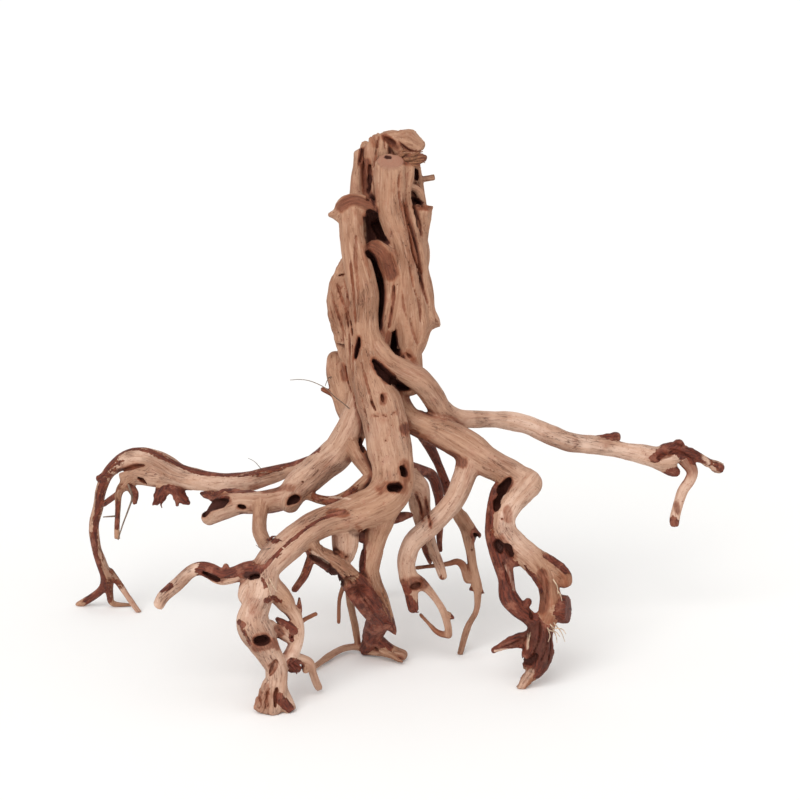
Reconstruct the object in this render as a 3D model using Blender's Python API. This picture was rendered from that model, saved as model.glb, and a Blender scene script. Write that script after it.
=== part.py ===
# Aquarium root wood: one dried, cleaned shrub root standing on its root tips.
# The wood grew as one piece, so it is one solid. Each stem and root below is a tube along its own
# centre line, and all the tubes are fused into one closed body whose feet are worn flat.
import math

import bmesh
import bpy
from mathutils import Vector

MM = 0.001

# The wood is described as it is seen from its front, from slightly above. A place is written as
# (across, up, behind, radius) in millimetres: across to the right and up in the plane of the view,
# behind as depth away from the viewer, all from the point that the viewer looks at.
VIEW_TILT = math.radians(15.0)
VIEW_DISTANCE = 1200.0
LOOK_AT = Vector((3.1, 18.1, 127.6))

TUBE_SIDE_STEPS = 2
TUBE_LENGTH_STEPS = 4
THINNEST_RADIUS = 1.25
WELD_DISTANCE = 0.0001 * MM
FUSE_CELL = 1.0 * MM
TARGET_TRIANGLES = 8600
FLOOR_BLOCK = 600.0 * MM

# The stems fused into the trunk, from the sawn crown down to where the roots part.
TRUNK = {
    "front_stem": [
        (-5, 119, -30, 8.5), (-5, 105, -30, 8), (-3, 92.5, -29, 8), (1, 80, -28, 8),
        (5, 67.5, -27, 8.5), (7.5, 55, -26, 9.5), (7, 42.5, -24, 10), (4, 30, -20, 9),
    ],
    "left_stem": [
        (-25.5, 97.5, -28, 7), (-24, 91, -30, 7.5), (-23.5, 80, -31, 6.5), (-20, 67.5, -31, 6.8),
        (-17.5, 55, -31, 7), (-17.5, 40, -30, 7), (-17, 27.5, -29, 7.5), (-15, 15, -28, 9),
        (-11.5, 2.5, -28, 10.5), (-8, -10, -29, 11), (-5.5, -22.5, -31, 11), (-3.5, -34, -33, 10.5),
        (-4.5, -45, -36, 10), (-12.5, -52.5, -40, 9.5), (-25, -57, -44, 8.3), (-37.5, -60.5, -48, 7.5),
        (-47.5, -66, -52, 7.5), (-57.5, -74, -56, 7.5), (-66, -82.5, -60, 7), (-70, -90, -62, 6),
    ],
    "inner_stub": [
        (-12.5, 77.5, -24, 4.5), (-8.5, 69, -26, 5), (-5, 57.5, -26, 4.5), (-4.5, 45, -26, 4.5),
        (-6, 32.5, -25, 4.5), (-8.5, 22, -22, 4.5),
    ],
    "back_left_stem": [
        (-18, 126, -16, 4.5), (-18.5, 115, -16, 5), (-19, 102, -15, 5), (-19, 87, -14, 6),
        (-18, 70, -12, 8), (-19, 50, -10, 9), (-18, 30, -8, 9.5), (-15, 12, -6, 10),
    ],
    "left_burl": [
        (-23, 71, -18, 4), (-27, 60, -17, 7), (-28.5, 50, -16, 7.5), (-27.5, 37.5, -15, 7),
        (-24, 25, -14, 6.5), (-21, 12.5, -13, 6.5), (-18, 0, -12, 7),
    ],
    "back_right_stem": [
        (2.5, 132, -12, 5), (2, 125, -12, 8), (0, 112, -11, 8.5), (2.5, 98, -10, 8.5),
        (5, 83, -9, 9), (6, 67, -8, 10), (7, 50, -8, 12), (6.5, 35, -7, 11.5),
        (4, 22, -6, 10), (2, 8, -5, 9.5), (0, -5, -5, 9),
    ],
    "crown_rib": [
        (-9, 130, -15, 5), (-10, 120, -14, 6.5), (-11, 105, -13, 6.5), (-10, 90, -12, 7),
        (-8, 70, -10, 8), (-6, 50, -8, 9), (-5, 30, -7, 10), (-4, 10, -6, 11), (-3, -8, -6, 11),
    ],
    "back_rib": [
        (-8, 118, 0, 6), (-7, 95, 2, 7), (-4, 65, 4, 9), (-6, 35, 6, 10), (-4, 8, 7, 11),
        (-3, -10, 6, 9),
    ],
    "right_rib": [
        (7.5, 118, -14, 4), (10, 105, -13, 4), (12, 95, -12, 4),
    ],
    "right_stub": [
        (15, 96, -19, 5), (13, 88, -18, 4.8), (12, 75, -17, 5), (13, 62, -17, 5),
        (14, 50, -16, 5.5), (14.5, 38, -15, 7), (12, 28, -13, 6.5), (9, 17, -11, 6),
        (9, 5, -9, 6),
    ],
    "right_burl": [
        (10, 44, -13, 6), (16.5, 38.5, -13, 3.2),
    ],
    "crown_head": [
        (-3, 131, -14, 4), (4, 131, -14, 5), (9, 128, -13, 4),
    ],
    "splinters": [
        (4, 121, -16, 4), (9, 121.5, -18, 3), (13.5, 121, -19, 1.2),
    ],
    "right_pin": [
        (7, 109, -13, 2), (17.3, 111.3, -12, 1.5),
    ],
    "low_left_knob": [
        (-32.5, 20, -4, 4.8), (-32.5, 14, -4, 5.5), (-30, 6, -5, 5.5), (-26, -4, -7, 6),
        (-21, -14, -9, 6),
    ],
    "low_left_spur": [
        (-31, 2, -6, 2), (-38.5, 5.3, -7, 1.2),
    ],
}

# The roots on the viewer's left: the shoulder, the long arm behind it and the front left leg.
LEFT_ROOTS = {
    "shoulder": [
        (-17, 5, -14, 7), (-21, -5, -15, 7.5), (-24.5, -15, -15, 8), (-30, -25, -14, 8.5),
        (-39, -33, -12, 8.5), (-49, -41, -11, 8.5), (-57.5, -47, -10, 7.5), (-69, -49.5, -9, 6.2),
        (-80, -50, -8, 5.8), (-89, -55, -7, 5.5), (-95, -59, -6, 3.8),
    ],
    "shoulder_stub": [
        (-50, -42.5, -12, 6.5), (-55.5, -52.5, -14, 5),
    ],
    "left_arm": [
        (-32.5, -26, -4, 4), (-45, -32, 2, 4.2), (-57.5, -37.5, 8, 4.6), (-72.5, -41.5, 14, 4.9),
        (-87.5, -43, 20, 5.1), (-100, -41, 25, 5.4), (-111, -37, 29, 5.7), (-122.5, -31.5, 34, 6),
        (-131, -30, 38, 5.4), (-139, -32, 42, 4.4), (-145, -38, 46, 3.2), (-148.5, -45, 50, 2.9),
        (-151, -53.5, 54, 2.8), (-153, -62.5, 58, 2.8), (-152, -72.5, 62, 2.8), (-149.5, -81, 66, 3),
        (-146.5, -88.5, 70, 3),
    ],
    "left_toe_outer": [
        (-146.5, -88, 70, 3), (-148.5, -94, 73, 2.2), (-154, -98.5, 78, 2), (-160.5, -102.5, 83, 2),
    ],
    "left_toe_middle": [
        (-146, -89, 70, 3), (-145, -97, 76, 2), (-143.5, -101.5, 80, 1.5), (-135, -103, 82, 1.3),
    ],
    "left_toe_inner": [
        (-145, -86, 69, 2.2), (-140, -92.5, 71, 1.7), (-135.5, -99, 72, 1.6), (-130, -107, 73, 1.4),
    ],
    "arm_fork": [
        (-120, -33, 34, 5.5), (-132, -38, 36, 4.2), (-138, -43, 38, 3), (-140.5, -47, 39, 2.1),
        (-141, -55, 40, 1.7), (-141.5, -62, 41, 1.5), (-141.5, -69.5, 42, 1.4),
    ],
    "arm_brace": [
        (-140.5, -46.5, 39, 1.7), (-148, -52, 50, 1.7),
    ],
    "arm_spur_outer": [
        (-118, -38, 33, 3), (-120, -44, 34, 2.6), (-123.5, -49, 34, 1.3),
    ],
    "arm_spur_inner": [
        (-115, -38, 31, 3), (-112.5, -44.5, 31, 2.8), (-106.5, -49.5, 31, 1.3),
    ],
    "shoulder_brace": [
        (-69, -50, -10, 3.8), (-70.5, -61, -22, 3.6), (-69, -69, -38, 3.6), (-64, -76, -54, 3.6),
    ],
    "cross_twig": [
        (-53, -44, -11, 2.8), (-44, -48.5, -14, 2.3), (-34, -50.5, -18, 2.5), (-26, -47.5, -24, 2.6),
        (-17, -40, -30, 2.8),
    ],
    "cross_twig_fork": [
        (-27, -48.5, -23, 2.5), (-22, -56, -36, 2.5),
    ],
    "inner_strand": [
        (-27, -19, -18, 3.2), (-23, -27.5, -21, 3), (-18, -34, -25, 2.8), (-12, -43, -29, 2.6),
    ],
    "left_leg": [
        (-68, -87, -62, 6), (-71, -99, -63, 6.2), (-73.5, -108.5, -64, 7.3), (-71, -118, -64, 6.8),
        (-66, -126, -63, 5), (-62.5, -132.5, -62, 4.6), (-62.5, -141.5, -61, 5.4), (-64, -150, -60, 6),
        (-66, -157.5, -60, 4.2),
    ],
    "left_leg_toe": [
        (-61, -145, -60, 4), (-56, -157, -60, 3.4),
    ],
    "left_leg_strand": [
        (-66, -89, -60, 4.8), (-60, -96.5, -57, 4), (-53, -105, -54, 3.5), (-49.8, -115, -53, 3.5),
        (-52, -124, -54, 3.3), (-56.5, -131, -57, 3.3), (-61, -137, -60, 3.2),
    ],
    "left_leg_rung": [
        (-67, -111, -61, 2.4), (-60, -116, -57, 2.2), (-53, -121, -55, 2.2),
    ],
    "left_leg_twig": [
        (-56, -130, -56, 2.6), (-48, -130.5, -50, 2.2), (-44, -135.5, -44, 2), (-40.5, -143, -37, 1.7),
    ],
    "left_leg_spur": [
        (-57, -131, -57, 3), (-51.5, -133, -58, 2.4),
    ],
    "left_knob": [
        (-70, -90, -61, 5), (-75, -94, -60, 5), (-76.5, -97.5, -59, 4.6),
    ],
    "left_leg_pin": [
        (-51, -111.5, -53, 1.5), (-42, -105.5, -44, 1.3),
    ],
    "low_left_root": [
        (-67, -85, -61, 5), (-76, -85, -61, 4.2), (-83, -87.5, -60, 3.9), (-89, -88.5, -59, 3.8),
        (-94, -86, -57, 3.8), (-99, -84.5, -55, 3.5), (-104.5, -86, -53, 3.1), (-110.5, -91.5, -50, 3),
        (-118, -98, -46, 3), (-121, -103, -44, 2.8),
    ],
    "low_left_bud": [
        (-87.5, -87, -59, 2), (-87, -83.2, -59, 1.5),
    ],
}

# The roots under the trunk: the middle leg, the dark root across it and the ones on the floor.
MIDDLE_ROOTS = {
    "middle_leg": [
        (-8, -47, -37, 8.5), (-11, -60, -36, 6.5), (-13, -69, -33, 5.2), (-16, -81, -30, 4.8),
        (-15, -90, -27, 4.8), (-10, -99, -23, 4.2), (-6.5, -107, -18, 3.3), (-4, -113, -13, 2.2),
    ],
    "pale_stub": [
        (-27.5, -58, -43, 6), (-27.5, -67, -40, 6.3), (-27.5, -75, -38, 6), (-25, -84, -33, 4.8),
    ],
    "dark_root": [
        (-45, -72, -52, 4), (-41, -77, -48, 4.5), (-34, -81, -43, 4.6), (-27, -87, -36, 5),
        (-21, -95, -28, 5.5), (-14, -103.5, -18, 5.3), (-10.5, -110, -8, 5.6), (-14, -117.5, 2, 4.6),
        (-17.5, -125, 11, 2.6),
    ],
    "dark_root_splinter": [
        (-11, -110, -9, 4.2), (-5.5, -113, -7, 3), (-1.5, -117, -6, 1.3),
    ],
    "dark_root_heel": [
        (-12, -117, 2, 3.6), (-6, -122, 4, 3.4), (0, -127, 4, 3.2),
    ],
    "floor_root": [
        (-43, -133.5, -9, 1.3), (-34.5, -127.5, 5, 2), (-28, -124.2, 13, 2.2), (-21.5, -123.5, 15, 2.2),
        (-15, -125, 11, 2.8), (-7, -125.5, 6, 3.3), (1, -127.5, 3, 3),
    ],
    "thin_leg": [
        (-27, -86, -33, 2.2), (-25.5, -97, -10, 1.8), (-24.3, -104, 1, 1.8), (-22.5, -113.5, 12, 1.8),
        (-21, -122, 15, 1.8),
    ],
    "thin_twig": [
        (-26.5, -89, -28, 1.6), (-29, -95, -19, 1.4), (-30.5, -101, -14, 1.4), (-30.7, -111, -11, 1.3),
    ],
    "under_twig": [
        (-43, -74, -51, 2.4), (-45.5, -82, -48, 2.1), (-48, -88, -46, 1.9), (-52.5, -94.5, -44, 1.7),
    ],
    "back_leg": [
        (-3, -6, 2, 8), (-3, -22, 22, 7), (-5, -40, 46, 5.8), (-9, -60, 66, 4.6), (-13, -80, 82, 3.9),
        (-15.5, -95, 90, 3.4), (-16.5, -101.5, 93, 3),
    ],
    "back_stub": [
        (-5, 10, 4, 8), (-6, 8, 30, 6.4), (-8, 3, 56, 5.4),
    ],
}

# The roots on the viewer's right: the crossing root and arm, the front right leg and its branches.
RIGHT_ROOTS = {
    "crossing_root": [
        (-17, 33, -26, 5.5), (-12, 26.5, -29, 6), (-8, 21, -30, 5.8), (-3, 17, -29, 5.8),
        (4, 13.5, -26, 6), (10.5, 9.5, -22, 6.2), (16.5, 2, -17, 5.9), (21, -4.5, -12, 5.2),
        (27, -8.5, -7, 4.6), (36, -9.5, -2, 4.2), (46, -9.7, 3, 4.2), (57, -10.8, 8, 4.6),
        (68, -14.2, 12, 5), (76.5, -18, 15, 5.4), (83, -20.5, 17, 5.3), (92, -22, 20, 4.8),
        (100, -23, 22, 4.6), (114.5, -25.7, 26, 4.4), (127.5, -28.6, 30, 5.7), (134, -29.5, 32, 5.2),
    ],
    "arm_knob": [
        (98, -20, 22, 2.4), (108, -18.6, 23, 2.6),
    ],
    "arm_end": [
        (133, -27, 32, 4.8), (141, -27, 34, 4), (147, -28.5, 36, 3.4), (153, -31, 38, 2.9),
        (160, -34, 40, 2.6),
    ],
    "arm_end_knob": [
        (133, -27, 32, 4), (139, -22.5, 33, 3),
    ],
    "arm_end_stub": [
        (132, -31, 32, 4), (137.5, -35.3, 33, 2.2),
    ],
    "hanging_twig": [
        (142, -29, 35, 3.6), (146, -35, 35.5, 2.9), (145, -40, 36, 2.7), (141.5, -45, 36, 2.5),
        (139.5, -51, 36.5, 2.4), (138, -57, 37, 2.4), (137.5, -61, 37, 2.2),
    ],
    "right_root": [
        (-1, 10, -9, 8), (2.5, 1, -11, 8), (9, -7.5, -13, 7.8), (20, -15, -14, 7.6),
        (32.5, -23, -17, 8), (45, -31.5, -20, 7.5), (56, -37, -24, 7), (64, -42, -27, 6.5),
    ],
    "right_leg": [
        (64, -41.5, -27, 6.6), (60.5, -46, -29, 6.4), (55.5, -52, -31, 5), (52, -59, -33, 4.8),
        (53, -66.5, -34, 5.5), (59, -74, -35, 5.6), (65.5, -80.5, -35, 5.3), (71.5, -87, -34, 4.9),
        (74.5, -95, -33, 4.4), (74, -105, -32, 4.4), (72.5, -112.5, -31, 4.7), (71.5, -121.5, -31, 6),
        (68.5, -131.5, -30.5, 5.6), (64, -139, -30.5, 3.4), (60.5, -144, -30.5, 2.2),
    ],
    "right_leg_strand": [
        (52, -40, -26, 3), (47, -46, -29, 2.6), (45.2, -56, -32, 2.3), (45.5, -66, -33, 3),
        (48, -79, -34, 3.3), (51, -91, -34, 3.1), (52, -99, -33.5, 3.4), (56.5, -103.5, -33, 3.9),
        (63, -108.5, -32, 3.6), (69, -114, -31, 3.4),
    ],
    "right_leg_web": [
        (46.5, -66, -34, 3), (52, -70, -34, 4),
    ],
    "right_leg_knob": [
        (65, -79, -34, 4.2), (76, -82.5, -33, 3.2), (83, -87.5, -32, 3), (83.5, -91, -32, 2.6),
    ],
    "right_leg_stub": [
        (74, -104, -32, 4.4), (81.5, -104, -31, 4.2),
    ],
    "right_leg_thorn": [
        (69, -119, -31, 4.6), (58, -120.5, -31, 3.3), (50, -123.5, -31, 1.8), (46.8, -125.3, -31, 1.3),
    ],
    "right_leg_bud": [
        (60, -106, -33, 2.2), (64, -101, -33, 2),
    ],
    "forked_root": [
        (36, -27, -18, 6.5), (31.5, -40, -20, 5.4), (26, -51.5, -21, 5), (16, -62, -21, 5),
        (6.5, -71.5, -20, 4.8), (3, -81, -18, 4.4), (4, -90, -16, 4.1), (5.5, -97.5, -15, 3.4),
        (6.5, -104, -14, 2.8),
    ],
    "forked_root_twig": [
        (5, -89, -16, 3.4), (13, -91.5, -14, 2.5), (18, -96.5, -12, 2.3), (23, -105, -10, 2.2),
        (25, -113, -8, 2), (24.5, -117.5, -7, 1.9),
    ],
    "forked_root_tip": [
        (24.5, -117, -7, 1.5), (20.5, -116.5, -6, 1.3), (17.3, -114.7, -5, 1.3), (10.3, -107.7, -3, 1.25),
    ],
    "hidden_root": [
        (9, -10, -8, 5), (13, -20.5, -1, 3.2), (17, -26.5, 4, 2.7), (20, -33, 7, 2.5),
        (22, -40, 8, 2.6), (25, -48, 10, 2.9), (28.5, -56, 11, 3.3), (32.5, -63, 12, 3.3),
        (34.5, -72, 12.5, 2.6), (36.5, -83, 13, 2.2), (38.8, -93, 13.5, 2), (38.4, -104, 13.5, 1.6),
        (34.3, -112.5, 13.5, 1.7), (32, -119.5, 13, 1.6), (30, -127, 13, 1.4),
    ],
    "hidden_root_stub": [
        (31, -59, 11, 3.4), (38, -68, 12, 3),
    ],
    "dark_arch": [
        (2, -34, -22, 5), (11.5, -35.5, -10, 4.2), (16, -38.5, -5, 4), (18.5, -43.5, -2, 3.5),
        (19.8, -50, 0, 2.8), (20, -60, 2, 2.2), (19.8, -70, 4, 1.6), (20.2, -75, 5, 1.3),
    ],
    "pale_arch": [
        (2, -39, -29, 6), (8, -41.5, -20, 5.4), (10.5, -47, -15, 4.9), (11, -55, -11, 4.3),
        (12.5, -64, -8, 3.8), (15.5, -73, -6, 3), (19, -81, -5, 2.5), (21.5, -86.5, -4, 2.1),
    ],
    "pale_arch_strand": [
        (11, -60, -8, 2.8), (12.5, -73.5, -4, 2), (15, -81, -3, 1.3),
    ],
    "level_twig": [
        (36.5, -87, 13.5, 1.9), (34, -89, 13, 1.8), (31.5, -83, 12, 1.5), (28.5, -80.5, 11, 1.4),
        (23.5, -82, 9, 1.3), (16, -83, 5, 1.25), (8.3, -83.7, 1, 1.25),
    ],
}


def place(across, up, behind):
    """The point of the wood that lies there in the view, in metres."""
    spread = (VIEW_DISTANCE + behind) / VIEW_DISTANCE
    sideways = across * spread
    upwards = up * spread
    return MM * (
        LOOK_AT
        + Vector((sideways, 0.0, 0.0))
        + Vector((0.0, math.sin(VIEW_TILT), math.cos(VIEW_TILT))) * upwards
        + Vector((0.0, math.cos(VIEW_TILT), -math.sin(VIEW_TILT))) * behind
    )


def tube(name, line):
    """A round tube along a smooth curve through the line's places, closed at both ends."""
    curve = bpy.data.curves.new(name, "CURVE")
    curve.dimensions = "3D"
    curve.bevel_depth = MM
    curve.bevel_resolution = TUBE_SIDE_STEPS
    curve.resolution_u = TUBE_LENGTH_STEPS
    curve.use_fill_caps = True
    spline = curve.splines.new("BEZIER")
    spline.bezier_points.add(len(line) - 1)
    for point, (across, up, behind, radius) in zip(spline.bezier_points, line):
        point.co = place(across, up, behind)
        point.radius = max(radius, THINNEST_RADIUS)
        point.handle_left_type = "AUTO"
        point.handle_right_type = "AUTO"
    shape = bpy.data.objects.new(name, curve)
    bpy.context.scene.collection.objects.link(shape)
    return shape


def floor_cutter():
    """A block whose top is the level that the feet are worn down to."""
    mesh = bpy.data.meshes.new("floor_cutter")
    block = bmesh.new()
    bmesh.ops.create_cube(block, size=FLOOR_BLOCK)
    bmesh.ops.translate(block, verts=block.verts, vec=(0.0, 0.0, -FLOOR_BLOCK / 2))
    block.to_mesh(mesh)
    block.free()
    cutter = bpy.data.objects.new("floor_cutter", mesh)
    cutter.hide_render = True
    cutter.display_type = "WIRE"
    bpy.context.scene.collection.objects.link(cutter)
    return cutter


def wood_material():
    material = bpy.data.materials.new("bare_root_wood")
    material.use_nodes = True
    shader = material.node_tree.nodes["Principled BSDF"]
    shader.inputs["Base Color"].default_value = (0.48, 0.29, 0.19, 1.0)
    shader.inputs["Roughness"].default_value = 0.78
    shader.inputs["Metallic"].default_value = 0.0
    return material


def fused_wood(roots):
    """All the tubes in one mesh, fused over a fine grid, thinned out and cut level at the feet."""
    depsgraph = bpy.context.evaluated_depsgraph_get()
    joined = bmesh.new()
    for root in roots:
        mesh = bpy.data.meshes.new_from_object(root.evaluated_get(depsgraph))
        joined.from_mesh(mesh)
        bpy.data.meshes.remove(mesh)
    bmesh.ops.remove_doubles(joined, verts=joined.verts, dist=WELD_DISTANCE)
    mesh = bpy.data.meshes.new("root_wood")
    joined.to_mesh(mesh)
    joined.free()
    wood = bpy.data.objects.new("root_wood", mesh)
    bpy.context.scene.collection.objects.link(wood)

    fuse = wood.modifiers.new("fuse", "REMESH")
    fuse.mode = "VOXEL"
    fuse.voxel_size = FUSE_CELL
    fuse.use_smooth_shade = True
    return wood


def triangle_count(thing):
    mesh = thing.evaluated_get(bpy.context.evaluated_depsgraph_get()).data
    mesh.calc_loop_triangles()
    return len(mesh.loop_triangles)


def main():
    for old in list(bpy.data.objects):
        bpy.data.objects.remove(old)
    roots = [
        tube(name, line)
        for group in (TRUNK, LEFT_ROOTS, MIDDLE_ROOTS, RIGHT_ROOTS)
        for name, line in group.items()
    ]
    bpy.context.view_layer.update()
    wood = fused_wood(roots)
    for root in roots:
        bpy.data.objects.remove(root)
    wood.data.materials.append(wood_material())
    bpy.context.view_layer.update()

    thin_out = wood.modifiers.new("thin_out", "DECIMATE")
    thin_out.ratio = min(1.0, TARGET_TRIANGLES / triangle_count(wood))

    wear = wood.modifiers.new("wear_feet", "BOOLEAN")
    wear.operation = "DIFFERENCE"
    wear.solver = "EXACT"
    wear.object = floor_cutter()


main()
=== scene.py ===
# Aquarium root wood, finished for rendering around the imported frame.
# Lengths are in millimetres until a mesh is made, which is in metres.
import math

import bpy
import numpy as np
from mathutils import Matrix, Vector


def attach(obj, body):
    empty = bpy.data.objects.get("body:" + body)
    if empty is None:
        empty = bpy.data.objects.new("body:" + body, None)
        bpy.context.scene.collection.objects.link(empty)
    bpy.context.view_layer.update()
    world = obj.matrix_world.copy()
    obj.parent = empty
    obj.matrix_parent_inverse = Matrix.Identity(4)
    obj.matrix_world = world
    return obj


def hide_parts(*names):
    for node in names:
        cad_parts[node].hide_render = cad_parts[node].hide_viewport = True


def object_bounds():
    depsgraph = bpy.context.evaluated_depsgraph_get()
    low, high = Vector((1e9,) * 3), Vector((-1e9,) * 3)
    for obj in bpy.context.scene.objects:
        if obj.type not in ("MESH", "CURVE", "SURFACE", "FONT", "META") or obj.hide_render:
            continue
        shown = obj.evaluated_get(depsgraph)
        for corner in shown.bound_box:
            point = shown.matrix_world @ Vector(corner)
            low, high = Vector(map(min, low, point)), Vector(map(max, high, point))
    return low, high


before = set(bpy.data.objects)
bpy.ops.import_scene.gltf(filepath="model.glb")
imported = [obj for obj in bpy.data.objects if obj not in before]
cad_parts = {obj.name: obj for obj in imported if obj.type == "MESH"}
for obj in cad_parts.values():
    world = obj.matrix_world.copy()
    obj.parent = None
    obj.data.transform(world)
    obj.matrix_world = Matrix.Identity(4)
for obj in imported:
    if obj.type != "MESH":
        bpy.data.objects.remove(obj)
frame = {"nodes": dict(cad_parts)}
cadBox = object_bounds()
print("frame loaded:", ", ".join(frame["nodes"]))

# the view that the wood is described in: across, up and behind, from the point looked at
view = {
    "tilt": math.radians(15.0),
    "distance": 1200.0,
    "lookAt": np.array([3.1, 18.1, 127.6]),
    "pixelSize": 0.5,
    "photoCentre": 400.0,
    "nearest": -140.0, "farthest": 150.0,  # all wood is this far behind the point looked at
    "sightStep": 0.35,  # how finely a line of sight looks for the wood
    "pathStep": 1.2,  # pixels between the points of a path
}
rightWay = np.array([1.0, 0.0, 0.0])
upWay = np.array([0.0, math.sin(view["tilt"]), math.cos(view["tilt"])])
awayWay = np.array([0.0, math.cos(view["tilt"]), -math.sin(view["tilt"])])
eye = view["lookAt"] - awayWay * view["distance"]


def place(across, up, behind):
    spread = (view["distance"] + behind) / view["distance"]
    return view["lookAt"] + rightWay * across * spread + upWay * up * spread + awayWay * behind


def sightLine(pixelX, pixelY):  # the way that the photo's pixel looks, from the eye
    across = (pixelX - view["photoCentre"]) * view["pixelSize"]
    up = (view["photoCentre"] - pixelY) * view["pixelSize"]
    way = place(across, up, 0.0) - eye
    return way / np.linalg.norm(way)


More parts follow.
